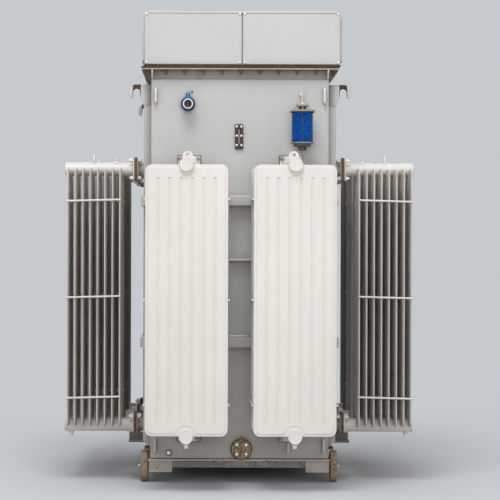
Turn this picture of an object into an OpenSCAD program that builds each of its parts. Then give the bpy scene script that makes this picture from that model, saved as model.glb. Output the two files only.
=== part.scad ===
// Variable autotransformer: an oil-filled column voltage regulator on rollers.
// +Z is up, the front faces -Y, and the origin is on the floor under the middle of the tank.

/* [Tank] */
// Width between the outer faces of the side walls
tank_w = 1156; // [1100:2:1500]
// Depth between the outer faces of the front and rear walls
tank_d = 1800; // [1790:2:2400]
// Height of the tank from its bottom plate to the rim flange
tank_h = 2539; // [2000:1:3100]
// Thickness of the tank walls
wall_t = 8; // [6:1:14]
// Thickness of the bottom plate
bottom_t = 12; // [8:1:20]
// How far the bottom plate stands out past the walls
bottom_lip = 15; // [4:1:16]

/* [Rim and lid] */
// How far the rim flange and the lid stand out past the walls
rim_lip = 65; // [50:1:90]
// Thickness of the rim flange
rim_t = 8; // [8:1:20]
// Height of the strip below the flange
rim_leg_h = 62; // [55:1:80]
// Thickness of that strip
rim_leg_t = 10; // [6:1:14]
// How far the strip sits back from the face of the wall
rim_setback = 3; // [1:1:5]
// Height of the gussets under the flange at the sides
gusset_h = 80; // [60:1:84]
// Height of the two gussets under the flange at the front and rear corners
end_gusset_h = 57; // [30:1:60]
// Thickness of the gussets
gusset_t = 10; // [6:1:14]
// Thickness of the gasket under the lid
gasket_t = 3; // [2:1:10]
// Thickness of the lid
lid_t = 10; // [6:1:20]

/* [Top box] */
// Width of the box over its side walls
box_w = 1274; // [900:2:1360]
// How far the box sits to the right of the tank's middle
box_shift = 13; // [0:1:16]
// Height of the box over its base flange
box_h = 357; // [280:1:500]
// Thickness of the base flange of the box
box_base_t = 4; // [3:1:10]
// How far the box sits back from the edge of the lid, front and rear
box_setback = 24; // [16:1:80]
// Thickness of the sheet
sheet_t = 3; // [2:0.5:5]
// Width of the frame round each opening of the box
frame_w = 45; // [30:1:70]
// Thickness of the roof
roof_t = 6; // [3:1:10]
// Height of the folded edge of the roof over the front and rear covers
roof_edge_h = 14; // [10:1:30]
// Thickness of that edge
roof_edge_t = 3; // [2:0.5:5]
// How far the roof sits in from the sides of the box
roof_inset = 24; // [4:1:60]
// Depth of the front and rear covers
cover_t = 12; // [8:1:20]
// Gap between two covers side by side
cover_gap = 6; // [3:1:12]
// Gap below the front and rear covers
cover_foot_gap = 9; // [4:1:12]
// Gap above them
cover_head_gap = 1; // [1:1:4]
// Height of the side covers
side_cover_h = 292; // [200:1:320]
// Depth of the side covers
side_cover_t = 18; // [8:1:20]

/* [Belts and posts] */
// Height of the two belts round the tank
belt_h = 67; // [50:1:100]
// How far the belts stand out from the walls
belt_out = 70; // [52:1:90]
// Plate thickness of the belts
belt_t = 8; // [6:1:12]
// Top edge bevel of the belts
belt_bevel = 6; // [2:1:7]
// From the rim flange down to the underside of the upper belt
upper_belt_drop = 886; // [780:1:960]
// From the bottom plate up to the underside of the lower belt
lower_belt_rise = 730; // [500:1:800]
// Thickness of the flat bar between the belts, front and rear
middle_bar_t = 12; // [8:1:20]
// How far that bar stands out
middle_bar_out = 60; // [30:1:80]
// How far that bar sits above the middle between the belts
middle_bar_lift = 74; // [-120:1:200]
// How far the side posts stand out
post_out = 50; // [30:1:51]
// Width of the side posts
post_w = 50; // [40:1:60]
// Plate thickness of the side posts
post_t = 6; // [4:1:10]
// From the top of the wheels up to the foot of the posts
post_clear = 26; // [8:1:60]
// Height of the slanted cut at the foot of the posts
post_cut_h = 40; // [20:1:100]
// Depth of that cut
post_cut_w = 46; // [10:1:48]

/* [Hooks and lugs] */
// From the rim flange down to the top of the hooks
hook_drop = 93; // [85:1:140]
// Height of the root plate of the hooks
hook_root_h = 146; // [110:1:200]
// Plate thickness of the hooks
hook_t = 30; // [20:1:45]
// How far the root plate stands out from the wall
hook_root_w = 75; // [70:1:110]
// Width of the mouth that takes the sling
hook_mouth_w = 46; // [30:1:60]
// Width of the lip of the hooks
hook_lip_w = 27; // [18:1:40]
// Height of the arm over the mouth
hook_arm_h = 26; // [22:1:45]
// From the top of the hook down to the end of the lip
hook_lip_drop = 88; // [70:1:110]
// Thickness of the tie lugs on the front and rear walls
lug_t = 12; // [8:1:20]
// How far the tie lugs stand out
lug_out = 46; // [36:1:60]
// Height of the upper tie lugs
upper_lug_h = 105; // [80:1:130]
// Height of the lower tie lugs
lower_lug_h = 96; // [70:1:110]
// From the rim flange down to the foot of the upper tie lugs
upper_lug_drop = 223; // [200:1:260]
// From the bottom plate up to the foot of the lower tie lugs
lower_lug_rise = 41; // [30:1:60]
// Radius of the hole in the tie lugs
lug_hole_r = 13; // [8:1:15]
// From the side wall in to the middle of the tie lugs
lug_inset = 28; // [20:1:60]

/* [Radiators] */
// Width of the radiator panels
panel_w = 520; // [420:10:540]
// Thickness of the radiator panels
panel_t = 12; // [8:1:16]
// Distance between neighbouring panels
panel_pitch = 49; // [45:1:56]
// Corner radius of the panels
panel_corner_r = 43; // [20:1:60]
// Radius of the header pipes
header_r = 44.5; // [37:0.5:54]
// From the rim flange down to the middle of the upper headers
upper_header_drop = 639; // [580:1:700]
// From the bottom plate up to the middle of the lower headers
lower_header_rise = 200; // [150:1:260]
// From the wall to the joint between the tank's flange and the radiator's flange
joint_out = 108; // [90:1:126]
// From the wall to the middle of the first panel
first_panel_out = 206; // [190:1:230]
// From the last panel to the end of the header
header_end = 33; // [20:1:60]
// Width of the square flanges
flange_w = 145; // [130:1:170]
// Thickness of the tank's flanges
tank_flange_t = 16; // [12:1:24]
// Thickness of the radiators' flanges
radiator_flange_t = 20; // [12:1:24]
// Between the two radiators on the front, middle to middle
front_spacing = 652; // [640:2:700]
// How far each front and rear radiator is turned outwards, in degrees
front_splay = 1.5; // [0:0.5:3]
// Between neighbouring radiators on the sides, middle to middle
side_spacing = 620; // [580:5:640]
// Width of the lifting eye plates on the upper headers
eye_w = 68; // [50:1:80]
// Height of the eye plates above the header
eye_h = 47; // [46:1:70]
// Thickness of the eye plates
eye_t = 10; // [6:1:14]
// Radius of the hole in the eye plates
eye_hole_r = 12; // [6:1:14]
// Height of that hole above the middle of the plates' round top
eye_hole_rise = 10; // [0:1:12]
// Radius of the vent plugs on top and the drain plugs below
plug_r = 14; // [10:1:18]
// Length of the vent plugs and the drain plugs
plug_h = 31; // [20:1:40]

/* [Fittings on the front wall] */
// From the middle to the valve, on the left
valve_x = 339; // [250:1:420]
// From the rim flange down to the valve
valve_drop = 227; // [150:1:300]
// Radius of the valve body
valve_r = 48; // [40:1:60]
// How far the valve stands out from the wall
valve_out = 112; // [90:1:140]
// Radius of the mouth of the valve
valve_mouth_r = 25; // [18:1:30]
// Depth of the mouth of the valve
valve_mouth_l = 36; // [20:1:40]
// Radius of the neck of the valve
valve_neck_r = 13; // [10:1:18]
// Height of the neck of the valve above its middle
valve_neck_h = 80; // [64:1:100]
// From the middle to the breather, on the right
breather_x = 402; // [250:1:420]
// From the rim flange down to the breather's pipe
breather_drop = 155; // [110:1:200]
// Gap between the wall and the breather's plates
breather_gap = 30; // [15:1:40]
// Outer radius of the breather's pipe
breather_pipe_r = 11; // [8:1:14]
// How far the breather's top and bottom plates stand out past its glass
breather_plate_lip = 9; // [4:1:12]
// Outer radius of the breather's glass
breather_glass_r = 71; // [60:1:86]
// Wall of the breather's glass
breather_glass_t = 4; // [3:1:6]
// Height of the breather's glass
breather_glass_h = 194; // [140:1:260]
// Radius of the oil cup below the glass
breather_cup_r = 58; // [40:1:66]
// From the rim flange down to the middle of the level gauge
gauge_drop = 435; // [380:1:520]
// From the middle to the level gauge, below zero on the left
gauge_x = -6; // [-60:1:60]
// Width of the level gauge
gauge_w = 53; // [44:1:70]
// Height of the level gauge
gauge_h = 161; // [130:1:200]
// Thickness of the level gauge
gauge_t = 14; // [10:1:20]
// Width of the slot of the level gauge
gauge_slot_w = 11; // [8:1:16]
// Height of the slot of the level gauge
gauge_slot_h = 99; // [70:1:120]
// From the middle to the drain flange, on the right
drain_x = 15; // [0:1:60]
// From the bottom plate up to the middle of the drain flange
drain_rise = 68; // [60:1:90]
// Radius of the drain flange
drain_r = 70; // [60:0.5:74]
// Radius of the cover on the drain flange
drain_cover_r = 64; // [58:0.5:70]
// Thickness of the drain flange and of its cover
drain_t = 16; // [12:1:24]
// Radius of the circle of the drain flange's bolt holes
drain_pcd_r = 44; // [40:1:50]
// Radius of those bolt holes
drain_hole_r = 7; // [5:0.5:9]
// From the middle to the earthing boss
earth_x = 459; // [400:1:480]
// From the bottom plate up to the earthing boss
earth_rise = 42; // [24:1:60]
// Radius of the earthing boss
earth_r = 19; // [14:1:22]
// Length of the earthing boss
earth_l = 22; // [16:1:30]
// Radius of the threaded hole in the earthing boss
earth_hole_r = 6; // [4:0.5:8]

/* [Base and wheels] */
// Height of the axles above the underside of the skid beams
axle_rise = 35; // [30:1:40]
// Height of the skid beams
skid_h = 76; // [64:1:110]
// Width of the skid beams
skid_w = 152; // [100:1:180]
// Plate thickness of the skid beams
skid_t = 8; // [6:1:12]
// How far the outer face of the skid beams stands out past the tank walls
skid_lip = 11; // [6:1:14]
// Height of the cross beams
cross_h = 46; // [40:1:60]
// Width of the cross beams
cross_w = 60; // [40:1:80]
// Radius of the wheels
wheel_r = 103; // [96:1:120]
// Width of the wheels
wheel_w = 47; // [36:1:70]
// From the front and rear walls in to the axles
axle_inset = 100; // [95:1:140]
// Radius of the axles
axle_r = 20; // [15:1:25]
// Running clearance between an axle and its wheel, on the radius
axle_gap = 0.1; // [0.05:0.01:0.1]
// Clearance between a wheel and the base beside it
wheel_gap = 8; // [5:0.5:16]
// How far the jacking brackets stand out from the walls
jack_out = 146; // [100:1:150]
// Length of the jacking brackets along the walls
jack_w = 130; // [110:1:160]
// From the top of the wheels up to the underside of the jacking brackets
jack_clear = 51; // [50:1:70]
// Thickness of the plates of the jacking brackets
jack_t = 14; // [10:1:16]
// Height of the upright plates of the jacking brackets
jack_gusset_h = 42; // [20:1:80]

/* [Hidden] */
$fn = 64;

// colours
light_grey = [0.74, 0.74, 0.73];
box_grey = [0.80, 0.80, 0.79];
cream = [0.87, 0.85, 0.82];
rust_brown = [0.42, 0.31, 0.25];
wheel_brown = [0.50, 0.40, 0.34];
gasket_brown = [0.25, 0.20, 0.17];
dark_grey = [0.30, 0.30, 0.30];
valve_blue = [0.08, 0.31, 0.58];
gel_blue = [0.05, 0.20, 0.65];
zinc = [0.75, 0.75, 0.74];
tan_brown = [0.62, 0.52, 0.40];

half_w = tank_w / 2;
half_d = tank_d / 2;
inner_w = tank_w - 2 * wall_t;

// levels, from the floor up
skid_z = wheel_r - axle_rise;
bottom_z = skid_z + skid_h;
wall_z = bottom_z + bottom_t;
rim_z = wall_z + tank_h;
leg_z = rim_z - rim_leg_h;
gasket_z = rim_z + rim_t;
lid_z = gasket_z + gasket_t;
box_z = lid_z + lid_t;
shell_z = box_z + box_base_t;
roof_z = shell_z + box_h - roof_t;
upper_belt_z = rim_z - upper_belt_drop;
lower_belt_z = wall_z + lower_belt_rise;
middle_bar_z = (upper_belt_z + lower_belt_z + belt_h - middle_bar_t) / 2 + middle_bar_lift;
upper_header_z = rim_z - upper_header_drop;
lower_header_z = wall_z + lower_header_rise;
header_centres = upper_header_z - lower_header_z;
hook_top_z = rim_z - hook_drop;
hook_root_z = hook_top_z - hook_root_h;
valve_z = rim_z - valve_drop;
breather_z = rim_z - breather_drop;
gauge_z = rim_z - gauge_drop;
drain_z = wall_z + drain_rise;
earth_z = wall_z + earth_rise;
post_foot_z = 2 * wheel_r + post_clear;
jack_z = 2 * wheel_r + jack_clear;

// rim and lid
lid_half_w = half_w + rim_lip;
lid_half_d = half_d + rim_lip;

// top box
box_left = box_shift - box_w / 2;
box_right = box_shift + box_w / 2;
box_half_d = lid_half_d - box_setback - cover_t;
cover_z = shell_z + cover_foot_gap;
cover_h = box_h - roof_t - cover_foot_gap - cover_head_gap;
cover_w = (box_w - cover_gap) / 2;
cover_rim = 3;
side_cover_d = 2 * box_half_d - frame_w;

// side posts: one behind each corner and one between neighbouring radiators
corner_post_y = half_d - 10 - post_w / 2;
post_ys = [-corner_post_y, -side_spacing / 2, side_spacing / 2, corner_post_y];
post_spans = [
    [post_foot_z, lower_belt_z],
    [lower_belt_z + belt_h, upper_belt_z],
    [upper_belt_z + belt_h, hook_root_z]
];

// lugs and the small plate beside the drain
lug_x = half_w - lug_inset;
upper_lug_z = rim_z - upper_lug_drop;
lower_lug_z = wall_z + lower_lug_rise;
tab_x = 320;
tab_h = 66;
tab_out = 30;

// radiators
radiator_ys = [-side_spacing, 0, side_spacing];
panel_count = 8;
last_panel_out = first_panel_out + (panel_count - 1) * panel_pitch;
header_out = last_panel_out + header_end;
header_bevel = 6;
eye_place = last_panel_out - 161;
vent_place = first_panel_out + 35;
drain_place = last_panel_out - 11;
plug_cone = 8;

// fittings
valve_ring_r = 34.5;
valve_stub_r = 24;
valve_stub_l = 46;
valve_ring_l = 14;
breather_elbow_r = 34;
breather_plate_r = breather_glass_r + breather_plate_lip;
breather_out = breather_plate_r + breather_gap;
breather_top_z = breather_z - 72;
breather_head_r = 42.5;
breather_flange_t = 26;
breather_neck_r = 26;
breather_plate_t = 16;
breather_neck_h = 14;
breather_glass_z = breather_top_z - breather_flange_t - breather_neck_h - breather_plate_t
                   - breather_glass_h;
breather_rod_r = 5;
gel_gap = 1;
gauge_pocket = 8;
fit_gap = 0.2;
drain_pipe_r = 40;
drain_pipe_l = 22;
drain_tab_w = 31;
drain_tab_h = 29;

// base
skid_x = half_w + skid_lip;
wheel_x = skid_x + wheel_gap;
bore_r = axle_r + axle_gap;
axle_in = skid_x - skid_w;
axle_y = half_d - axle_inset;
cross_y = axle_y + axle_r + 5;
jack_y = half_d - corner_post_y + post_w / 2 + 10;
axle_collar_r = 30;
axle_collar_t = 4;
axle_side_gap = 1;
axle_nub_r = 9;
axle_nub_l = 14;
wheel_round = 5;
wheel_dish = 8;
block_w = 42;
block_h = 13;
block_drop = 32;

// points of an arc of radius r round c, from angle a0 to a1
function arc(c, r, a0, a1, steps = 6) =
    [for (i = [0:steps]) c + r * [cos(a0 + (a1 - a0) * i / steps), sin(a0 + (a1 - a0) * i / steps)]];

// outline of a rectangle with rounded corners, centred
function rounded(w, h, r) = concat(
    arc([w / 2 - r, h / 2 - r], r, 0, 90),
    arc([r - w / 2, h / 2 - r], r, 90, 180),
    arc([r - w / 2, r - h / 2], r, 180, 270),
    arc([w / 2 - r, r - h / 2], r, 270, 360));

// block between two corners
module block(low, high) {
    translate(low) cube(high - low);
}

// the same thing on the left and on the right
module both_sides() {
    children();
    mirror([1, 0, 0]) children();
}

// the same thing at the front and at the rear
module both_ends() {
    children();
    mirror([0, 1, 0]) children();
}

// outline in the XZ plane, centred on y = 0 and t thick
module upright(t) {
    rotate([90, 0, 0]) translate([0, 0, -t / 2]) linear_extrude(t) children();
}

// turned shape about the Z axis from points [radius, height]
module turned(points) {
    rotate_extrude() polygon(points);
}

/* tank */

module front_wall() {
    block([-half_w, -half_d, wall_z], [half_w, wall_t - half_d, leg_z]);
}

module side_wall() {
    block([half_w - wall_t, wall_t - half_d, wall_z], [half_w, half_d - wall_t, leg_z]);
}

module tank_front_wall() {
    color(light_grey) front_wall();
}

module tank_rear_wall() {
    color(light_grey) mirror([0, 1, 0]) front_wall();
}

module tank_left_wall() {
    color(light_grey) mirror([1, 0, 0]) side_wall();
}

module tank_right_wall() {
    color(light_grey) side_wall();
}

module tank_bottom() {
    color(light_grey)
        block([-half_w - bottom_lip, -half_d - bottom_lip, bottom_z],
              [half_w + bottom_lip, half_d + bottom_lip, wall_z]);
}

// ring of rectangular section round the tank, from depth in to depth out past the walls
module ring(inward, outward, z0, z1) {
    difference() {
        block([-half_w - outward, -half_d - outward, z0], [half_w + outward, half_d + outward, z1]);
        block([inward - half_w, inward - half_d, z0 - 1], [half_w - inward, half_d - inward, z1 + 1]);
    }
}

// triangular plate under the flange, in the XZ plane, with its upright edge on the strip at x = 0
// and, below the strip, on the wall
module gusset(w, h) {
    foot = h > rim_leg_h ? [[rim_setback, -h], [rim_setback, -rim_leg_h], [0, -rim_leg_h]] : [[0, -h]];
    upright(gusset_t) polygon(concat([[0, 0], [w, 0], [w, -12], [14, -h]], foot));
}

gusset_ys = [gusset_t - half_d, -side_spacing / 2, side_spacing / 2, half_d - gusset_t];

module tank_rim() {
    color(light_grey) union() {
        ring(rim_setback + rim_leg_t, -rim_setback, leg_z, rim_z);
        ring(rim_setback + rim_leg_t, rim_lip, rim_z, gasket_z);
        both_sides() for (y = gusset_ys)
            translate([half_w - rim_setback, y, rim_z]) gusset(rim_lip - 4, gusset_h);
        both_ends() both_sides() translate([half_w - gusset_t / 2, rim_setback - half_d, rim_z])
            rotate([0, 0, -90]) gusset(rim_lip - 4, end_gusset_h);
    }
}

module lid_gasket() {
    color(gasket_brown) ring(rim_setback + rim_leg_t, rim_lip - 3, gasket_z, lid_z);
}

module tank_lid() {
    color(rust_brown) block([-lid_half_w, -lid_half_d, lid_z], [lid_half_w, lid_half_d, box_z]);
}

/* belts and posts */

// channel section standing out along +X from x = 0, open towards the wall
module belt_section() {
    polygon([
        [0, 0], [belt_out, 0], [belt_out, belt_h - belt_bevel], [belt_out - belt_bevel, belt_h], [0, belt_h],
        [0, belt_h - belt_t], [belt_out - belt_t, belt_h - belt_t], [belt_out - belt_t, belt_t], [0, belt_t]
    ]);
}

// length of belt along Y, standing out along +X
module belt(length) {
    rotate([90, 0, 0]) translate([0, 0, -length / 2]) linear_extrude(length) belt_section();
}

belt_zs = [lower_belt_z, upper_belt_z];

module end_belts() {
    for (z = belt_zs) translate([0, -half_d, z]) rotate([0, 0, -90]) belt(tank_w);
    block([120 - half_w, -half_d - middle_bar_out, middle_bar_z],
          [half_w - 120, -half_d, middle_bar_z + middle_bar_t]);
}

module side_belts() {
    for (z = belt_zs) translate([half_w, 0, z]) belt(tank_d + 2 * belt_out);
}

module front_belts() {
    color(light_grey) end_belts();
}

module rear_belts() {
    color(light_grey) mirror([0, 1, 0]) end_belts();
}

module left_belts() {
    color(light_grey) mirror([1, 0, 0]) side_belts();
}

module right_belts() {
    color(light_grey) side_belts();
}

// channel standing up against the side wall, open towards the wall
module post(z0, z1) {
    translate([half_w, 0, z0]) linear_extrude(z1 - z0) polygon([
        [0, -post_w / 2], [post_out, -post_w / 2], [post_out, post_w / 2], [0, post_w / 2],
        [0, post_w / 2 - post_t], [post_out - post_t, post_w / 2 - post_t],
        [post_out - post_t, post_t - post_w / 2], [0, post_t - post_w / 2]
    ]);
}

// what the slanted foot of a post leaves out
module post_cut() {
    translate([half_w, 0, post_foot_z]) upright(post_w + 2) polygon([
        [post_out - post_cut_w, -1], [post_out + 1, -1], [post_out + 1, post_cut_h],
        [post_out, post_cut_h], [post_out - post_cut_w, 0]
    ]);
}

module side_posts() {
    color(light_grey) both_sides() for (y = post_ys) translate([0, y, 0]) {
        difference() {
            post(post_spans[0][0], post_spans[0][1]);
            post_cut();
        }
        post(post_spans[1][0], post_spans[1][1]);
        post(post_spans[2][0], post_spans[2][1]);
    }
}

/* hooks and lugs */

hook_w = hook_root_w + hook_mouth_w + hook_lip_w;
mouth_r = hook_mouth_w / 2;
hook_root_edge = hook_root_h / 2;

// outline of a hook standing out along +X from the wall, its top at y = 0
hook_outline = concat(
    [[0, -hook_root_h], [post_out, -hook_root_h], [hook_root_w, -hook_root_edge]],
    arc([hook_root_w + mouth_r, -hook_arm_h - mouth_r], mouth_r, 180, 0, 10),
    arc([hook_w - hook_lip_w / 2, hook_lip_w / 2 - hook_lip_drop], hook_lip_w / 2, 180, 360, 8),
    arc([hook_w - hook_arm_h, -hook_arm_h], hook_arm_h, 0, 90, 6),
    [[0, 0]]);

module lifting_hooks() {
    color(light_grey) both_ends() both_sides() translate([half_w, corner_post_y, hook_top_z])
        upright(hook_t) polygon(hook_outline);
}

// plate standing out along +X from x = 0 with rounded outer corners and a hole, lowest edge at y = 0
module lug(h) {
    lug_r = lug_out / 2 - 3;
    upright(lug_t) difference() {
        polygon(concat([[0, 0]], arc([lug_out - lug_r, lug_r], lug_r, -90, 0),
                       arc([lug_out - lug_r, h - lug_r], lug_r, 0, 90), [[0, h]]));
        translate([lug_out - lug_r, h / 2]) circle(r = lug_hole_r);
    }
}

module wall_lugs() {
    color(light_grey) both_ends() {
        both_sides() {
            translate([lug_x, -half_d, upper_lug_z]) rotate([0, 0, -90]) lug(upper_lug_h);
            translate([lug_x, -half_d, lower_lug_z]) rotate([0, 0, -90]) lug(lower_lug_h);
        }
        block([tab_x - lug_t / 2, -half_d - tab_out, lower_lug_z],
              [tab_x + lug_t / 2, -half_d, lower_lug_z + tab_h]);
    }
}

module earthing_boss() {
    translate([-earth_x, -half_d, earth_z]) rotate([90, 0, 0]) difference() {
        cylinder(h = earth_l, r = earth_r);
        translate([0, 0, 2]) cylinder(h = earth_l, r = earth_hole_r);
    }
}

module earthing_bosses() {
    color(zinc) {
        earthing_boss();
        rotate([0, 0, 180]) earthing_boss();
    }
}

/* valve */

module valve_body() {
    color(valve_blue) translate([-valve_x, -half_d, valve_z]) rotate([90, 0, 0]) difference() {
        turned([
            [0, 0], [valve_stub_r, 0], [valve_stub_r, valve_stub_l],
            [valve_r - 8, valve_stub_l], [valve_r, valve_stub_l + 8],
            [valve_r, valve_out - valve_ring_l - 8], [valve_r - 8, valve_out - valve_ring_l],
            [valve_ring_r, valve_out - valve_ring_l], [valve_ring_r, valve_out], [0, valve_out]
        ]);
        translate([0, 0, valve_out - valve_mouth_l]) cylinder(h = valve_mouth_l + 1, r = valve_mouth_r);
    }
}

// gland and spindle above the body, with a short lever
module valve_spindle() {
    lever_l = 52;
    lever_t = 10;
    gland_z = valve_r * 0.97;
    color(valve_blue) difference() {
        translate([-valve_x, -half_d - (valve_stub_l + valve_out - valve_ring_l) / 2, valve_z]) {
            cylinder(h = valve_neck_h, r = valve_neck_r);
            translate([0, 0, gland_z]) cylinder(h = 14, r = valve_neck_r + 5, $fn = 6);
            translate([0, 0, valve_neck_h]) cylinder(h = 12, r = valve_neck_r * 0.6);
            translate([-8, -lever_t / 2, valve_neck_h]) cube([lever_l, lever_t, lever_t]);
        }
        translate([-valve_x, -half_d, valve_z]) rotate([90, 0, 0])
            cylinder(h = valve_out, r = valve_r + fit_gap);
    }
}

/* breather */

module breather_pipe() {
    color(light_grey) translate([breather_x, -half_d, breather_z]) union() {
        rotate([90, 0, 0]) cylinder(h = 10, r = breather_pipe_r * 2);
        rotate([90, 0, 0]) cylinder(h = breather_out - breather_elbow_r, r = breather_pipe_r);
        translate([0, breather_elbow_r - breather_out, -breather_elbow_r]) rotate([90, 0, -90])
            rotate_extrude(angle = 90) translate([breather_elbow_r, 0]) circle(r = breather_pipe_r);
        translate([0, -breather_out, breather_top_z - breather_z])
            cylinder(h = breather_z - breather_top_z - breather_elbow_r, r = breather_pipe_r);
    }
}

module breather_head() {
    neck_z = breather_flange_t + breather_neck_h;
    color(tan_brown) translate([breather_x, -half_d - breather_out, breather_top_z]) turned([
        [0, 0], [breather_head_r, 0], [breather_head_r, -breather_flange_t],
        [breather_neck_r, -breather_flange_t], [breather_neck_r, -neck_z],
        [breather_plate_r, -neck_z], [breather_plate_r, -neck_z - breather_plate_t],
        [0, -neck_z - breather_plate_t]
    ]);
}

module breather_glass() {
    color([0.80, 0.86, 0.90, 0.35]) translate([breather_x, -half_d - breather_out, breather_glass_z])
        difference() {
            cylinder(h = breather_glass_h, r = breather_glass_r);
            translate([0, 0, -1]) cylinder(h = breather_glass_h + 2, r = breather_glass_r - breather_glass_t);
        }
}

module breather_gel() {
    gel_h = breather_glass_h * 0.93;
    color(gel_blue) translate([breather_x, -half_d - breather_out, breather_glass_z])
        cylinder(h = gel_h, r = breather_glass_r - breather_glass_t - gel_gap);
}

module breather_cup() {
    cup_h = 20;
    neck_h = 20;
    color(light_grey) translate([breather_x, -half_d - breather_out, breather_glass_z]) turned([
        [0, 0], [breather_plate_r, 0], [breather_plate_r, -6], [breather_cup_r, -6],
        [breather_cup_r, -6 - cup_h], [breather_cup_r - 6, -10 - cup_h],
        [breather_neck_r, -10 - cup_h], [breather_neck_r, -10 - cup_h - neck_h + 4],
        [breather_neck_r - 4, -10 - cup_h - neck_h], [0, -10 - cup_h - neck_h]
    ]);
}

/* level gauge */

// upright slot with round ends, standing out towards the front from depth y0 to y1
module slot(w, h, y0, y1) {
    translate([gauge_x, -half_d - y0, gauge_z]) rotate([90, 0, 0]) linear_extrude(y1 - y0) union() {
        square([w, h - w], center = true);
        translate([0, (h - w) / 2]) circle(d = w);
        translate([0, (w - h) / 2]) circle(d = w);
    }
}

module gauge_frame() {
    color(gasket_brown) difference() {
        block([gauge_x - gauge_w / 2, -half_d - gauge_t, gauge_z - gauge_h / 2],
              [gauge_x + gauge_w / 2, -half_d, gauge_z + gauge_h / 2]);
        slot(gauge_slot_w, gauge_slot_h, gauge_t - gauge_pocket, gauge_t + 1);
    }
}

module gauge_glass() {
    color([0.62, 0.64, 0.64])
        slot(gauge_slot_w - 2 * fit_gap, gauge_slot_h - 2 * fit_gap, gauge_t - gauge_pocket, gauge_t - 2);
}

/* drain */

module drain_disc(r, y0, y1) {
    translate([drain_x, -half_d - y0, drain_z]) rotate([90, 0, 0]) difference() {
        cylinder(h = y1 - y0, r = r);
        for (a = [45:90:315]) rotate([0, 0, a]) translate([drain_pcd_r, 0, -1])
            cylinder(h = y1 - y0 + 2, r = drain_hole_r);
    }
}

module drain_flange() {
    color(light_grey) union() {
        translate([drain_x, -half_d, drain_z]) rotate([90, 0, 0])
            cylinder(h = drain_pipe_l, r = drain_pipe_r);
        drain_disc(drain_r, drain_pipe_l, drain_pipe_l + drain_t);
    }
}

module drain_cover() {
    color(rust_brown) union() {
        drain_disc(drain_cover_r, drain_pipe_l + drain_t, drain_pipe_l + 2 * drain_t);
        translate([drain_x, -half_d - drain_pipe_l, drain_z + drain_cover_r])
            block([-drain_tab_w / 2, -2 * drain_t, -3], [drain_tab_w / 2, -drain_t, drain_tab_h]);
    }
}

/* top box */

module box_shell() {
    inner_z = roof_z - frame_w;
    roof_half_d = box_half_d + cover_t + fit_gap + roof_edge_t;
    color(box_grey) difference() {
        union() {
            block([box_left, -box_half_d, shell_z], [box_right, box_half_d, roof_z]);
            block([box_left - 2, -box_half_d - cover_t, box_z],
                  [box_right + 2, box_half_d + cover_t, shell_z]);
            block([box_left + roof_inset, -roof_half_d, roof_z],
                  [box_right - roof_inset, roof_half_d, roof_z + roof_t]);
            for (side = [-1, 1]) translate([0, side * (roof_half_d - roof_edge_t / 2), 0])
                block([box_left + roof_inset, -roof_edge_t / 2, roof_z + roof_t - roof_edge_h],
                      [box_right - roof_inset, roof_edge_t / 2, roof_z + roof_t]);
        }
        block([box_left + sheet_t, sheet_t - box_half_d, box_z - 1],
              [box_right - sheet_t, box_half_d - sheet_t, roof_z - sheet_t]);
        for (x = [box_left + frame_w, box_shift + frame_w / 2])
            block([x, -box_half_d - 1, shell_z + frame_w],
                  [x + box_w / 2 - 1.5 * frame_w, box_half_d + 1, inner_z]);
        block([box_left - 1, frame_w - box_half_d, shell_z + frame_w],
              [box_right + 1, box_half_d - frame_w, inner_z]);
    }
}

// sheet cover, a shallow pan standing out towards the front
module cover(x, w) {
    difference() {
        block([x, -box_half_d - cover_t, cover_z], [x + w, -box_half_d, cover_z + cover_h]);
        block([x + cover_rim, cover_rim - box_half_d - cover_t, cover_z + cover_rim],
              [x + w - cover_rim, 1 - box_half_d, cover_z + cover_h - cover_rim]);
    }
}

module front_cover_left() {
    color(box_grey) cover(box_left, cover_w);
}

module front_cover_right() {
    color(box_grey) cover(box_shift + cover_gap / 2, cover_w);
}

module rear_covers() {
    color(box_grey) mirror([0, 1, 0]) {
        cover(box_left, cover_w);
        cover(box_shift + cover_gap / 2, cover_w);
    }
}

// pan on a side wall of the box, standing out along +X from x = 0
module side_cover() {
    z0 = cover_z + (cover_h - side_cover_h) / 2;
    difference() {
        block([0, -side_cover_d / 2, z0], [side_cover_t, side_cover_d / 2, z0 + side_cover_h]);
        block([-1, cover_rim - side_cover_d / 2, z0 + cover_rim],
              [side_cover_t - cover_rim, side_cover_d / 2 - cover_rim, z0 + side_cover_h - cover_rim]);
    }
}

module side_cover_left() {
    color(box_grey) translate([box_left, 0, 0]) mirror([1, 0, 0]) side_cover();
}

module side_cover_right() {
    color(box_grey) translate([box_right, 0, 0]) side_cover();
}

/* radiators, standing out along +X from a wall at x = 0, with their width along Y */

module header(z) {
    translate([0, 0, z]) rotate([0, 90, 0]) union() {
        translate([0, 0, joint_out]) cylinder(h = header_out - joint_out - header_bevel, r = header_r);
        translate([0, 0, header_out - header_bevel])
            cylinder(h = header_bevel, r1 = header_r, r2 = header_r - header_bevel);
    }
    block([joint_out, -flange_w / 2, z - flange_w / 2],
          [joint_out + radiator_flange_t, flange_w / 2, z + flange_w / 2]);
}

module panel(x) {
    translate([x - panel_t / 2, 0, (upper_header_z + lower_header_z) / 2]) rotate([90, 0, 90])
        linear_extrude(panel_t) polygon(rounded(panel_w, header_centres, panel_corner_r));
}

module eye_plate() {
    arch_z = header_r + eye_h - eye_w / 2;
    translate([eye_place, 0, upper_header_z]) rotate([90, 0, 90]) translate([0, 0, -eye_t / 2])
        linear_extrude(eye_t) difference() {
            polygon(concat([[-eye_w / 2, 0], [eye_w / 2, 0]], arc([0, arch_z], eye_w / 2, 0, 180, 12)));
            translate([0, arch_z + eye_hole_rise]) circle(r = eye_hole_r);
        }
}

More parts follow.
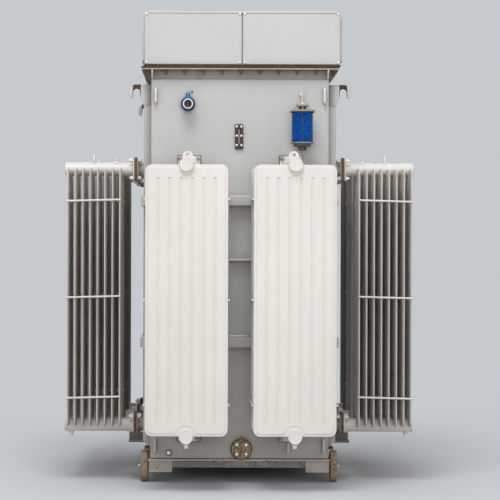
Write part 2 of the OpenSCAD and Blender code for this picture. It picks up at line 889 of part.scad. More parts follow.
// plug screwed into a header, standing up along +Z from the pipe's middle
module header_plug() {
    cylinder(h = header_r + plug_h, r = plug_r);
    translate([0, 0, header_r - 4]) cylinder(h = plug_cone + 4, r1 = plug_r + plug_cone + 4, r2 = plug_r);
}

module radiator() {
    color(cream) union() {
        header(upper_header_z);
        header(lower_header_z);
        for (i = [0:panel_count - 1]) panel(first_panel_out + i * panel_pitch);
        eye_plate();
        translate([vent_place, 0, upper_header_z]) header_plug();
        translate([drain_place, 0, lower_header_z]) mirror([0, 0, 1]) header_plug();
    }
}

// pipe stubs and flanges welded to the tank for one radiator
module pipe_pair() {
    for (z = [upper_header_z, lower_header_z]) intersection() {
        union() {
            translate([-10, 0, z]) rotate([0, 90, 0]) cylinder(h = joint_out + 10, r = header_r);
            block([joint_out - tank_flange_t, -flange_w / 2, z - flange_w / 2],
                  [joint_out, flange_w / 2, z + flange_w / 2]);
        }
        rotate([0, 0, $splay]) block([0, -flange_w, z - flange_w], [2 * joint_out, flange_w, z + flange_w]);
    }
}

// places a child on the right wall, at y along it
module on_side(y) {
    $splay = 0;
    translate([half_w, y, 0]) children();
}

// places a child on the front wall right of the middle, turned outwards
module on_front() {
    $splay = -front_splay;
    translate([front_spacing / 2, -half_d, 0]) rotate([0, 0, front_splay - 90]) children();
}

module front_radiator_right() {
    on_front() radiator();
}

module front_radiator_left() {
    mirror([1, 0, 0]) on_front() radiator();
}

module rear_radiator_right() {
    mirror([0, 1, 0]) on_front() radiator();
}

module rear_radiator_left() {
    mirror([0, 1, 0]) mirror([1, 0, 0]) on_front() radiator();
}

module right_radiator(i) {
    on_side(radiator_ys[i]) radiator();
}

module left_radiator(i) {
    mirror([1, 0, 0]) on_side(radiator_ys[i]) radiator();
}

module left_radiator_front() {
    left_radiator(0);
}

module left_radiator_middle() {
    left_radiator(1);
}

module left_radiator_rear() {
    left_radiator(2);
}

module right_radiator_front() {
    right_radiator(0);
}

module right_radiator_middle() {
    right_radiator(1);
}

module right_radiator_rear() {
    right_radiator(2);
}

module radiator_pipes() {
    color(light_grey) {
        both_sides() for (y = radiator_ys) on_side(y) pipe_pair();
        both_ends() both_sides() on_front() pipe_pair();
    }
}

/* base and wheels */

// closed box beam with a hole across it for each axle
module skid_beam() {
    length = tank_d - 20;
    difference() {
        block([skid_x - skid_w, -length / 2, skid_z], [skid_x, length / 2, bottom_z]);
        block([skid_x - skid_w + skid_t, skid_t - length / 2, skid_z + skid_t],
              [skid_x - skid_t, length / 2 - skid_t, bottom_z - skid_t]);
        for (y = [-axle_y, axle_y]) translate([axle_in - 1, y, wheel_r]) rotate([0, 90, 0])
            cylinder(h = skid_w + 2, r = axle_r + fit_gap);
    }
}

module skid_beams() {
    color(light_grey) both_sides() skid_beam();
}

module cross_beams() {
    reach = skid_x - skid_w;
    color(dark_grey) both_ends()
        block([-reach, -cross_y - cross_w, bottom_z - cross_h], [reach, -cross_y, bottom_z]);
}

// level plate over a wheel with an upright plate at its inner end, and a block on the wall below it
module jacking_brackets() {
    color(dark_grey) both_ends() both_sides() translate([half_w, jack_y - half_d, jack_z]) {
        union() {
            block([0, 0, 0], [jack_out, jack_w, jack_t]);
            block([0, jack_w - jack_t, 0], [jack_out, jack_w, jack_t + jack_gusset_h]);
        }
        block([0, 0, -block_drop - block_h], [block_w, jack_w, -block_drop]);
    }
}

module axle(y) {
    wheel_end = wheel_x + wheel_w + axle_side_gap;
    translate([axle_in, y, wheel_r]) rotate([0, 90, 0]) union() {
        cylinder(h = wheel_end - axle_in, r = axle_r);
        translate([0, 0, wheel_end - axle_in]) cylinder(h = axle_collar_t, r = axle_collar_r);
        translate([0, 0, wheel_end - axle_in]) cylinder(h = axle_collar_t + axle_nub_l, r = axle_nub_r);
    }
}

module axles() {
    color(wheel_brown) both_sides() {
        axle(-axle_y);
        axle(axle_y);
    }
}

module wheel(y) {
    translate([wheel_x, y, wheel_r]) rotate([0, 90, 0]) turned([
        [bore_r, 0], [wheel_r - wheel_round, 0], [wheel_r, wheel_round],
        [wheel_r, wheel_w - wheel_round], [wheel_r - wheel_round, wheel_w],
        [wheel_r - 20, wheel_w], [wheel_r - 26, wheel_w - wheel_dish],
        [axle_collar_r + 12, wheel_w - wheel_dish], [axle_collar_r + 8, wheel_w], [bore_r, wheel_w]
    ]);
}

module wheel_front_left() {
    color(wheel_brown) mirror([1, 0, 0]) wheel(-axle_y);
}

module wheel_front_right() {
    color(wheel_brown) wheel(-axle_y);
}

module wheel_rear_left() {
    color(wheel_brown) mirror([1, 0, 0]) wheel(axle_y);
}

module wheel_rear_right() {
    color(wheel_brown) wheel(axle_y);
}

tank_front_wall();
tank_rear_wall();
tank_left_wall();
tank_right_wall();
tank_bottom();
tank_rim();
lid_gasket();
tank_lid();
front_belts();
rear_belts();
left_belts();
right_belts();
side_posts();
lifting_hooks();
wall_lugs();
earthing_bosses();
valve_body();
valve_spindle();
breather_pipe();
breather_head();
breather_glass();
breather_gel();
breather_cup();
gauge_frame();
gauge_glass();
drain_flange();
drain_cover();
box_shell();
front_cover_left();
front_cover_right();
rear_covers();
side_cover_left();
side_cover_right();
front_radiator_left();
front_radiator_right();
rear_radiator_left();
rear_radiator_right();
left_radiator_front();
left_radiator_middle();
left_radiator_rear();
right_radiator_front();
right_radiator_middle();
right_radiator_rear();
radiator_pipes();
skid_beams();
cross_beams();
jacking_brackets();
axles();
wheel_front_left();
wheel_front_right();
wheel_rear_left();
wheel_rear_right();
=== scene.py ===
import math

import bmesh
import bpy
import mathutils
import numpy as np
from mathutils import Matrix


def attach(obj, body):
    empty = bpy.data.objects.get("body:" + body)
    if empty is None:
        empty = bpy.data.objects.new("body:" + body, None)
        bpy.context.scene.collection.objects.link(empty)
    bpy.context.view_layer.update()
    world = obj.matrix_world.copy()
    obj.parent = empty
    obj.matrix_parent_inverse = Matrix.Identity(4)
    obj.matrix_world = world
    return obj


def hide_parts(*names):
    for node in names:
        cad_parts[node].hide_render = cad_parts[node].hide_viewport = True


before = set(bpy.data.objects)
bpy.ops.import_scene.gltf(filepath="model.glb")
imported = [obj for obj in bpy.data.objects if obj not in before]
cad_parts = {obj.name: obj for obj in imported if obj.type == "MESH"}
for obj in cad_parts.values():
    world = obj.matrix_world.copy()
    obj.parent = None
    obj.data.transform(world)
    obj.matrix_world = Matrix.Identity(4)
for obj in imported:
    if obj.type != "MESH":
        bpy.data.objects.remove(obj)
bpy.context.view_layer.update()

# Variable autotransformer. Shapes are worked out in millimetres in the row frame, +Z up and the front
# towards -Y, and become metres in piece().
MM = 0.001

# tank
HALF_W, HALF_D = 578.0, 900.0
WALL_Z, LEG_Z, RIM_Z = 156.0, 2633.0, 2695.0
RIM_LIP, RIM_HOLE, FLANGE_T = 65.0, -13.0, 8.0
RIM_PITCH, RIM_BOLT_OUT, RIM_ROW, RIM_COLUMN, RIM_ROW_MID = 122.0, 34.0, 9, 15, 6.0
GUSSET_Y, END_GUSSET_IN = (310.0, 890.0), 5.0
BELT_Z, BELT_H, BELT_OUT = (886.0, 1809.0), 67.0, 70.0
BAR_HALF_W, BAR_OUT, BAR_Z, BAR_T = 458.0, 60.0, 1449.0, 12.0
POST_Y, POST_HALF, POST_FOOT = (310.0, 865.0), 25.0, 232.0
HOOK_TOP, HOOK_FOOT = 2602.0, 2456.0
LUG_X, LUG_HALF_T = 550.0, 7.0
LUG_SPANS = ((2474.0, 2575.0), (199.0, 291.0))

# radiators, standing out along +X from a wall at x = 0, with their width along Y
UPPER_Z, LOWER_Z = 2056.0, 356.0
HEADER_MID = (UPPER_Z + LOWER_Z) / 2
HEADER_R, HEADER_END = 44.5, 582.0
JOINT, FLANGE_HALF, TANK_FLANGE, FIN_FLANGE = 108.0, 72.5, 16.0, 20.0
FIRST_PANEL, PANEL_PITCH, PANELS = 206.0, 49.0, 8
PANEL_HALF_W, PANEL_HALF_H, PANEL_HALF_T, PANEL_CORNER = 260.0, 850.0, 6.0, 43.0
SEAM_W, SEAM_T, SEAM_ROLL, SEAM_RISE = 15.0, 2.6, 3.0, 3.5
RECESS_R, RECESS_RISE = 64.0, 4.5
GROOVES, GROOVE_PITCH, GROOVE_HALF, GROOVE_RISE, GROOVE_T = 6, 71.3, 6.0, 3.0, 1.2
GROOVE_TOP, GROOVE_FOOT = 88.0, 85.0
PIPE_BEAD = 2.2
EYE_X, VENT_X, DRAIN_PLUG_X = 388.0, 241.0, 538.0
BOLT_AT = 59.0
BRACE_Z, BRACE_R = (1844.0, 1213.0, 556.0), 6.3
SIDE_YS = (-620.0, 0.0, 620.0)
FRONT_X, SPLAY = 326.0, math.radians(1.5)

# top box
BOX_LEFT, BOX_RIGHT, BOX_MID, BOX_HALF_D = -624.0, 650.0, 13.0, 929.0
COVER_Z, COVER_TOP, COVER_T, COVER_GAP = 2729.0, 3070.0, 12.0, 6.0
SIDE_COVER_H, SIDE_COVER_HALF, SIDE_COVER_T = 292.0, 906.5, 18.0
COVER_BOLT_IN, BOLT_SUNK = 13.0, 0.5
SEAL_OUT, SEAL_HALF_D, SEAL_W, SEAL_LOW, SEAL_HIGH = 3.5, 942.5, 9.0, 2716.2, 2726.0

# fittings on the front wall, and the base
VALVE_X, VALVE_Z, BONNET_OUT, BALL_H = -339.0, 2468.0, 72.0, 62.0
BREATHER_X, BREATHER_Y, AIR_Z = 402.0, -1010.0, 2540.0
GAUGE_X, GAUGE_Z = -6.0, 2260.0
DRAIN_X, DRAIN_Z, DRAIN_BOLT_AT = 15.0, 224.0, 44.0 / math.sqrt(2)
EARTH_X, EARTH_Z = -459.0, 198.0
SKID_X, SKID_W, SKID_H, SKID_CORNER = 513.0, 152.0, 76.0, 7.0
SKID_MID_Z, SKID_END, SKID_TOP = 106.0, 890.0, 143.0
AXLE_Z, AXLE_Y, AXLE_IN, WHEEL_X = 103.0, 800.0, 437.0, 597.0

rng = np.random.default_rng(7)


# ---- shapes: (points, [faces]) worked out as whole arrays ----


def grid(points, around=False, along=False):
    """Quads between neighbours of points[i, j]; around joins the last j to the first, along the last i."""
    n, m = points.shape[:2]
    index = np.arange(n * m).reshape(n, m)
    if around:
        index = np.concatenate([index, index[:, :1]], 1)
    if along:
        index = np.concatenate([index, index[:1]], 0)
    quads = np.stack([index[:-1, :-1], index[:-1, 1:], index[1:, 1:], index[1:, :-1]], -1)
    return points.reshape(-1, 3), [quads.reshape(-1, 4)]


def tube(rings, loop=False):
    """Rings of points joined in order; its two ends are flat faces, or with loop the ends join up."""
    points, faces = grid(rings, around=True, along=loop)
    if not loop:
        n, m = rings.shape[:2]
        faces += [np.arange(m)[None, ::-1], (n - 1) * m + np.arange(m)[None]]
    return points, faces


def turned(profile, steps=32, loop=False):
    """Profile of (r, h) carried round Z: x = r cos a, y = r sin a, z = h, for a once round."""
    r, h = np.array(profile, float).T
    a = np.linspace(0, 2 * np.pi, steps, endpoint=False)
    rings = np.stack([np.outer(r, np.cos(a)), np.outer(r, np.sin(a)), np.outer(h, np.ones(steps))], -1)
    return tube(rings, loop)


def circle(r, steps=12):
    """Points (r cos a, r sin a) for a once round."""
    a = np.linspace(0, 2 * np.pi, steps, endpoint=False)
    return np.stack([r * np.cos(a), r * np.sin(a)], -1)


def arc(x, y, r, start, end, steps):
    """Points on a circle round (x, y), from start to end in degrees."""
    a = np.radians(np.linspace(start, end, steps))
    return np.stack([x + r * np.cos(a), y + r * np.sin(a)], -1)


def carried(profile, path, across):
    """Closed profile (u, v) carried along a flat path: path + u across + v (tangent x across)."""
    path = np.array(path, float)
    way = np.gradient(path, axis=0)
    way /= np.linalg.norm(way, axis=1)[:, None]
    across = np.broadcast_to(np.array(across, float), path.shape)
    up = np.cross(way, across)
    u, v = np.array(profile, float).T
    return tube(path[:, None] + (u[None, :, None] * across[:, None] + v[None, :, None] * up[:, None]))


def stacked(levels, loop=False):
    """Outlines of as many points, each at its own height, joined in order."""
    return tube(np.stack([np.concatenate([o, np.full((len(o), 1), z)], 1) for o, z in levels]), loop)


def inset(outline, d):
    """Outline moved inwards by d: each point goes along the sum of its two edges' inward normals."""
    edge = np.roll(outline, -1, 0) - outline
    edge /= np.linalg.norm(edge, axis=1)[:, None]
    normal = np.stack([-edge[:, 1], edge[:, 0]], -1)
    before = np.roll(normal, 1, 0)
    mitre = (normal + before) / (1 + (normal * before).sum(1))[:, None]
    return outline + d * mitre


def plate(outline, z0, z1, soft=1.0):
    """Outline (anticlockwise) from z0 to z1 with its edges bevelled by soft."""
    outline = np.array(outline, float)
    small = inset(outline, soft)
    return stacked([(small, z0), (outline, z0 + soft), (outline, z1 - soft), (small, z1)])


def ringed(outer, inner, z0, z1, soft=1.0):
    """Plate from z0 to z1 between an outer and an inner outline of as many points, edges bevelled."""
    outer, inner = np.array(outer, float), np.array(inner, float)
    small, wide = inset(outer, soft), inset(inner, -soft)
    return stacked([
        (small, z0), (outer, z0 + soft), (outer, z1 - soft), (small, z1),
        (wide, z1), (inner, z1 - soft), (inner, z0 + soft), (wide, z0),
    ], loop=True)


def rectangle(w, h, corner=0.0, steps=5):
    """Outline of a rectangle w by h round the middle, its corners rounded to a quarter circle each."""
    if not corner:
        return np.array([[-w, -h], [w, -h], [w, h], [-w, h]], float) / 2
    x, y = w / 2 - corner, h / 2 - corner
    quarters = []
    for q, (sx, sy) in enumerate(((1, 1), (-1, 1), (-1, -1), (1, -1))):
        a = np.linspace(0, np.pi / 2, steps) + q * np.pi / 2
        quarters.append(np.stack([sx * x + corner * np.cos(a), sy * y + corner * np.sin(a)], -1))
    return np.concatenate(quarters)


def block(low, high, soft=1.0):
    """Box between two corners with bevelled edges."""
    low, high = np.array(low, float), np.array(high, float)
    size = high - low
    points, faces = plate(rectangle(size[0], size[1]), low[2], high[2], soft)
    return points + [*(low[:2] + size[:2] / 2), 0], faces


WAYS = {
    "-z": np.diag([1.0, -1.0, -1.0]),
    "+x": np.array([[0, 0, 1], [0, 1, 0], [-1, 0, 0]], float),
    "-x": np.array([[0, 0, -1], [0, 1, 0], [1, 0, 0]], float),
    "-y": np.array([[1, 0, 0], [0, 0, -1], [0, 1, 0]], float),
}


def facing(shape, way):
    """Shape built along +Z, turned to stand along another axis."""
    return shape[0] @ WAYS[way].T, shape[1]


def upright(shape):
    """Plate built along Z, stood up: its outline in the XZ plane and its thickness along Y."""
    return shape[0][:, [0, 2, 1]], shape[1]


def sideways(shape):
    """Plate built along Z, stood up: its outline in the YZ plane and its thickness along X."""
    return shape[0][:, [2, 0, 1]], shape[1]


def moved(shape, by):
    """Shape moved by (x, y, z)."""
    return shape[0] + np.array(by, float), shape[1]


def flipped(shape, x=1, y=1):
    """Mirror image, by signs on two axes; piece() makes the faces point outwards again."""
    return shape[0] * [x, y, 1], shape[1]


def joined(shapes):
    """Several shapes as one."""
    points, faces, start = [], [], 0
    for p, f in shapes:
        points.append(p)
        faces += [k + start for k in f]
        start += len(p)
    return np.concatenate(points), faces


def repeated(shape, places):
    """Copies of a shape at many places."""
    places = np.array(places, float).reshape(-1, 3)
    points = (shape[0][None] + places[:, None]).reshape(-1, 3)
    step = len(shape[0]) * np.arange(len(places))
    return points, [(f[None] + step[:, None, None]).reshape(-1, f.shape[1]) for f in shape[1]]


def four_ways(shape):
    """The shape with its mirror images left, right, front and rear."""
    return joined([flipped(shape, x, y) for x in (1, -1) for y in (1, -1)])


def round_bar(a, b, along, size, steps):
    """Circles of radius size[i] round the line from a to b, along[i] from a, joined in order."""
    a, b = np.array(a, float), np.array(b, float)
    way = (b - a) / np.linalg.norm(b - a)
    side = np.cross(way, [0.0, 0.0, 1.0] if abs(way[2]) < 0.9 else [1.0, 0.0, 0.0])
    side /= np.linalg.norm(side)
    up = np.cross(way, side)
    ring = circle(1, steps)
    spokes = (ring[:, 0, None] * side + ring[:, 1, None] * up)[None]
    return tube(a + along[:, None, None] * way + size[:, None, None] * spokes)


def rod(a, b, r, steps=8):
    """Round bar from a to b with bevelled ends."""
    length = np.linalg.norm(np.array(b, float) - np.array(a, float))
    cut = min(0.3 * r, 0.3 * length)
    along, size = np.array([0, cut, length - cut, length]), np.array([r - cut, r, r, r - cut])
    return round_bar(a, b, along, size, steps)


BEAD_SWELL, BEAD_TURN, BEAD_SIDES = 0.22, 2.4, 6


def weld(a, b, r=3.0, pitch=10.0):
    """Weld bead from a to b: a round bar whose radius swells and shrinks, r (1 + BEAD_SWELL
    sin (BEAD_TURN i) + a little chance) at its ring i."""
    length = np.linalg.norm(np.array(b, float) - np.array(a, float))
    n = int(max(4, length / pitch))
    size = r * (1 + BEAD_SWELL * np.sin(BEAD_TURN * np.arange(n + 1)) + 0.08 * rng.standard_normal(n + 1))
    return round_bar(a, b, np.linspace(0, 1, n + 1) * length, size, BEAD_SIDES)


def weld_ring(r, z=0.0, thick=3.0, steps=40):
    """Ring weld round a pipe along Z: a small circle whose size wavers, carried round radius r."""
    a = np.linspace(0, 2 * np.pi, steps, endpoint=False)
    size = thick * (1 + 0.2 * np.sin(BEAD_TURN * np.arange(steps)))
    ring = circle(1, BEAD_SIDES)
    out = r + size[:, None] * ring[None, :, 0]
    rings = np.stack([out * np.cos(a)[:, None], out * np.sin(a)[:, None],
                      z + size[:, None] * ring[None, :, 1]], -1)
    return tube(rings, loop=True)


def hexagon(r, h):
    """Hexagonal nut or head, r to its corners, with its top corners cut back."""
    return turned([(r * 0.96, 0), (r, h * 0.08), (r, h * 0.88), (r * 0.86, h)], 6)


def washer(r, h):
    """Flat ring's outside, with its edge rounded off."""
    return turned([(r * 0.97, 0), (r, h * 0.3), (r, h * 0.7), (r * 0.97, h)], 16)


def bolt(r, head, shank=0.0):
    """Washer with a hexagonal head on it, and with shank the thread's end standing out of it."""
    parts = [washer(r * 1.95, r * 0.35), moved(hexagon(r * 1.7, head), (0, 0, r * 0.35))]
    if shank:
        top = r * 0.35 + head
        parts.append(turned([(r, top - 1), (r, top + shank - r * 0.3), (r * 0.7, top + shank)], 10))
    return joined(parts)


def smooth(x):
    """0 below 0, 1 above 1, and 3 x^2 - 2 x^3 between."""
    x = np.clip(x, 0, 1)
    return x * x * (3 - 2 * x)


# ---- pieces ----


def shade(mesh, angle):
    """Smooth shading, with edges sharper than angle in degrees kept sharp."""
    mesh.polygons.foreach_set("use_smooth", np.ones(len(mesh.polygons), bool))
    mesh.set_sharp_from_angle(angle=math.radians(angle))


def linked(name, data):
    """Object of a mesh, light or camera, in the scene."""
    obj = bpy.data.objects.new(name, data)
    bpy.context.scene.collection.objects.link(obj)
    return obj


def placed(mesh, name, materials, body, stands_for):
    """Object of a mesh, riding on its body and standing for its CAD nodes."""
    for m in materials:
        mesh.materials.append(m)
    obj = linked(name, mesh)
    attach(obj, body)
    if stands_for:
        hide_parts(*stands_for)
    return obj


def piece(name, parts, stands_for=(), body="plant", angle=35, merge=True):
    """One object from (shape, material) pairs in millimetres, closed, with its faces pointing outwards."""
    materials = list(dict.fromkeys(m for _, m in parts))
    points, faces = joined([s for s, _ in parts])
    polygons = [c for f in faces for c in f.tolist()]
    which = np.concatenate([np.full(sum(len(f) for f in s[1]), materials.index(m)) for s, m in parts])
    mesh = bpy.data.meshes.new(name)
    mesh.from_pydata((points * MM).tolist(), [], polygons)
    mesh.polygons.foreach_set("material_index", which.astype(np.int32))
    bm = bmesh.new()
    bm.from_mesh(mesh)
    if merge:
        bmesh.ops.remove_doubles(bm, verts=bm.verts, dist=1e-6)
    bmesh.ops.recalc_face_normals(bm, faces=bm.faces)
    bm.to_mesh(mesh)
    bm.free()
    shade(mesh, angle)
    return placed(mesh, name, materials, body, stands_for)


def beads_piece(name, shape, material):
    """Piece of weld beads, which run through each other and aren't merged."""
    return piece(name, [(shape, material)], angle=60, merge=False)


def softened(node, material, width):
    """Copy of a CAD node's plates, merged, its flat faces made whole and its edges rounded by width."""
    bm = bmesh.new()
    bm.from_mesh(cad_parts[node].data)
    bmesh.ops.remove_doubles(bm, verts=bm.verts, dist=1e-5)
    bmesh.ops.dissolve_limit(bm, angle_limit=math.radians(1), verts=bm.verts, edges=bm.edges)
    bm.verts.index_update()
    points = [v.co[:] for v in bm.verts]
    faces = [[v.index for v in f.verts] for f in bm.faces]
    bm.free()
    name = node + "_plates"
    mesh = bpy.data.meshes.new(name)
    mesh.from_pydata(points, [], faces)
    shade(mesh, 30)
    bevel = placed(mesh, name, [material], "plant", [node]).modifiers.new("rounded edges", "BEVEL")
    bevel.width = width * MM
    bevel.segments = 2
    bevel.limit_method = "ANGLE"
    bevel.angle_limit = math.radians(32)
    bevel.use_clamp_overlap = True
    bevel.harden_normals = True


# ---- shader groups ----


def add(tree, kind, values=None, **settings):
    """New shader node; values are its inputs' numbers, (r, g, b) colours, or sockets to link to them."""
    n = tree.nodes.new(kind)
    for key, value in settings.items():
        setattr(n, key, value)
    for key, value in (values or {}).items():
        socket = n.inputs[key]
        if isinstance(value, bpy.types.NodeSocket):
            tree.links.new(value, socket)
        else:
            socket.default_value = (*value, 1) if socket.type == "RGBA" else value
    return n


def group(name, inputs, outputs=()):
    """Empty shader group that takes a Color and gives one; gives its tree and its inner sockets."""
    tree = bpy.data.node_groups.new(name, "ShaderNodeTree")
    for label, value in {"Color": (0.5, 0.5, 0.5), **inputs}.items():
        kind, value = ("Color", (*value, 1)) if isinstance(value, tuple) else ("Float", value)
        tree.interface.new_socket(
            name=label, in_out="INPUT", socket_type="NodeSocket" + kind).default_value = value
    tree.interface.new_socket(name="Color", in_out="OUTPUT", socket_type="NodeSocketColor")
    for label in outputs:
        tree.interface.new_socket(name=label, in_out="OUTPUT", socket_type="NodeSocketFloat")
    return tree, tree.nodes.new("NodeGroupInput").outputs, tree.nodes.new("NodeGroupOutput").inputs


def maths(tree, operation, a, b=0.5, clamp=False):
    """One sum, product or the like of two values."""
    return add(tree, "ShaderNodeMath", {0: a, 1: b}, operation=operation, use_clamp=clamp).outputs[0]


def times(tree, product, *factors):
    """Product of several values."""
    for factor in factors:
        product = maths(tree, "MULTIPLY", product, factor)
    return product


def span(tree, value, low, high, to_low=0.0, to_high=1.0):
    """Smooth step of value from low..high to to_low..to_high."""
    inputs = {"Value": value, "From Min": low, "From Max": high, "To Min": to_low, "To Max": to_high}
    return add(tree, "ShaderNodeMapRange", inputs, interpolation_type="SMOOTHSTEP").outputs[0]


def component(tree, axis, kind="ShaderNodeTexCoord", output="Object"):
    """One component of a vector that a node gives: the Object coordinates, or another node's output."""
    vector = add(tree, kind).outputs[output]
    return add(tree, "ShaderNodeSeparateXYZ", {0: vector}).outputs[axis]


def noise(tree, scale, detail=3.0, stretch=None, rough=0.55):
    """Noise on Object coordinates, with stretch a scale for each axis."""
    where = add(tree, "ShaderNodeTexCoord").outputs["Object"]
    if stretch:
        where = add(tree, "ShaderNodeMapping", {"Vector": where, "Scale": stretch}).outputs[0]
    inputs = {"Vector": where, "Scale": scale, "Detail": detail, "Roughness": rough}
    return add(tree, "ShaderNodeTexNoise", inputs).outputs[0]


def mixed(tree, factor, a, b):
    """Colour a where factor is 0 and b where it is 1."""
    return add(tree, "ShaderNodeMix", {0: factor, 6: a, 7: b}, data_type="RGBA").outputs[2]


def tint(tree, given, result, mask, color):
    """Gives a group's Color, with another colour over it where mask is 1."""
    tree.links.new(mixed(tree, mask, given["Color"], color), result["Color"])
    return tree


def paint_film():
    """Colour that drifts a little over the surface, an uneven gloss and the paint's fine ripple."""
    tree, given, result = group("paint film", {"Patchiness": 0.05}, ["Unevenness", "Height"])
    broad = span(tree, noise(tree, 2.2, 4.0), 0.3, 0.7, -1.0, 1.0)
    value = maths(tree, "ADD", times(tree, broad, given["Patchiness"]), 1.0)
    toned = add(tree, "ShaderNodeHueSaturation", {"Color": given["Color"], "Value": value}).outputs[0]
    tree.links.new(toned, result["Color"])
    tree.links.new(noise(tree, 40.0), result["Unevenness"])
    tree.links.new(noise(tree, 260.0, 2.0), result["Height"])
    return tree


def grime():
    """Dirt in runs down the surface, darker towards the floor up to Foot height, dust on what faces up."""
    tree, given, result = group(
        "grime", {"Dirt": (0.12, 0.10, 0.08), "Runs": 0.2, "Foot": 0.3, "Foot height": 0.5, "Dust": 0.3},
        ["Mask"])
    runs = times(tree, span(tree, noise(tree, 1.0, 5.0, (26.0, 26.0, 1.3)), 0.48, 0.78), given["Runs"])
    near = times(tree, span(tree, component(tree, 2), given["Foot height"], 0.0),
                 span(tree, noise(tree, 7.0, 6.0), 0.2, 0.7, 0.35, 1.0), given["Foot"])
    dust = times(tree, span(tree, component(tree, 2, "ShaderNodeNewGeometry", "Normal"), 0.3, 0.95),
                 span(tree, noise(tree, 18.0, 6.0), 0.3, 0.65, 0.3, 1.0), given["Dust"])
    mask = maths(tree, "ADD", maths(tree, "ADD", runs, near), dust, clamp=True)
    tint(tree, given, result, mask, given["Dirt"])
    tree.links.new(mask, result["Mask"])
    return tree


def edge_light_and_wear():
    """Edge tone where the surface bends within Reach, in patches: noise of scale Grain above Rarity.
    A tone lighter than the paint is a painted highlight on the edges, a dark one chipped paint.
    """
    tree, given, result = group("edge highlights and chips", {
        "Edge tone": (0.2, 0.15, 0.1), "Reach": 0.004, "Amount": 0.5, "Grain": 60.0, "Rarity": 0.45})
    bent = add(tree, "ShaderNodeBevel", {"Radius": given["Reach"]}, samples=4).outputs[0]
    flat = add(tree, "ShaderNodeNewGeometry").outputs["Normal"]
    same = add(tree, "ShaderNodeVectorMath", {0: bent, 1: flat}, operation="DOT_PRODUCT").outputs["Value"]
    edge = span(tree, same, 0.97, 0.8)
    rare = maths(tree, "ADD", given["Rarity"], 0.12)
    broken = span(tree, noise(tree, given["Grain"], 6.0), given["Rarity"], rare)
    mask = times(tree, edge, broken, given["Amount"])
    return tint(tree, given, result, mask, given["Edge tone"])


SKY_FADE = 0.5


def crease():
    """Painted shade where other surfaces are nearer than Reach, as in grooves, corners and along welds,
    with some dirt in fine grooves; painted sky light thins it from the height Sky light height upwards,
    to a quarter over SKY_FADE."""
    tree, given, result = group("crease shade and dirt", {
        "Dirt": (0.2, 0.17, 0.14), "Reach": 0.01, "Amount": 0.5, "Sky light height": 100.0})
    level = component(tree, 2)
    sky_top = maths(tree, "ADD", given["Sky light height"], SKY_FADE)
    left = span(tree, level, sky_top, given["Sky light height"], 0.25, 1.0)
    clear = add(tree, "ShaderNodeAmbientOcclusion", {"Distance": given["Reach"]}, samples=4).outputs["AO"]
    mask = times(tree, span(tree, clear, 0.95, 0.35), given["Amount"], left)
    return tint(tree, given, result, mask, given["Dirt"])


def wall_side():
    """Painted shade that thickens towards the side walls: none where |x| is Clear, full where it is Wall."""
    tree, given, result = group("painted wall shade", {
        "Dirt": (0.2, 0.17, 0.14), "Wall": 0.578, "Clear": 0.64, "Amount": 0.5})
    out = maths(tree, "ABSOLUTE", component(tree, 0))
    mask = times(tree, span(tree, out, given["Clear"], given["Wall"]), given["Amount"])
    return tint(tree, given, result, mask, given["Dirt"])


def rust():
    """Patches of two browns, Cover 0 for none and 1 for all, with a rough crust."""
    tree, given, result = group("rust", {
        "Light rust": (0.28, 0.15, 0.08), "Dark rust": (0.09, 0.045, 0.025), "Cover": 0.2},
        ["Mask", "Height"])
    low = maths(tree, "SUBTRACT", 0.75, times(tree, given["Cover"], 0.5))
    mask = span(tree, maths(tree, "SUBTRACT", noise(tree, 16.0, 9.0, rough=0.62), low), -0.03, 0.05)
    tone = span(tree, noise(tree, 70.0, 6.0), 0.35, 0.65)
    browns = mixed(tree, tone, given["Light rust"], given["Dark rust"])
    tint(tree, given, result, mask, browns)
    tree.links.new(mask, result["Mask"])
    tree.links.new(times(tree, noise(tree, 320.0, 4.0), mask), result["Height"])
    return tree


FILM, GRIME, EDGE_LIGHT_AND_WEAR = paint_film(), grime(), edge_light_and_wear()
CREASE_SHADE, RUST, WALL_SHADE = crease(), rust(), wall_side()


# ---- finishes ----

GLOSS_SPREAD, SOIL_DULLS, RIPPLE_DEPTH = 0.07, 0.3, 0.0006


def emptied(holder):
    """Node tree of a new material or world, with nothing in it."""
    holder.use_nodes = True
    holder.node_tree.nodes.clear()
    return holder.node_tree


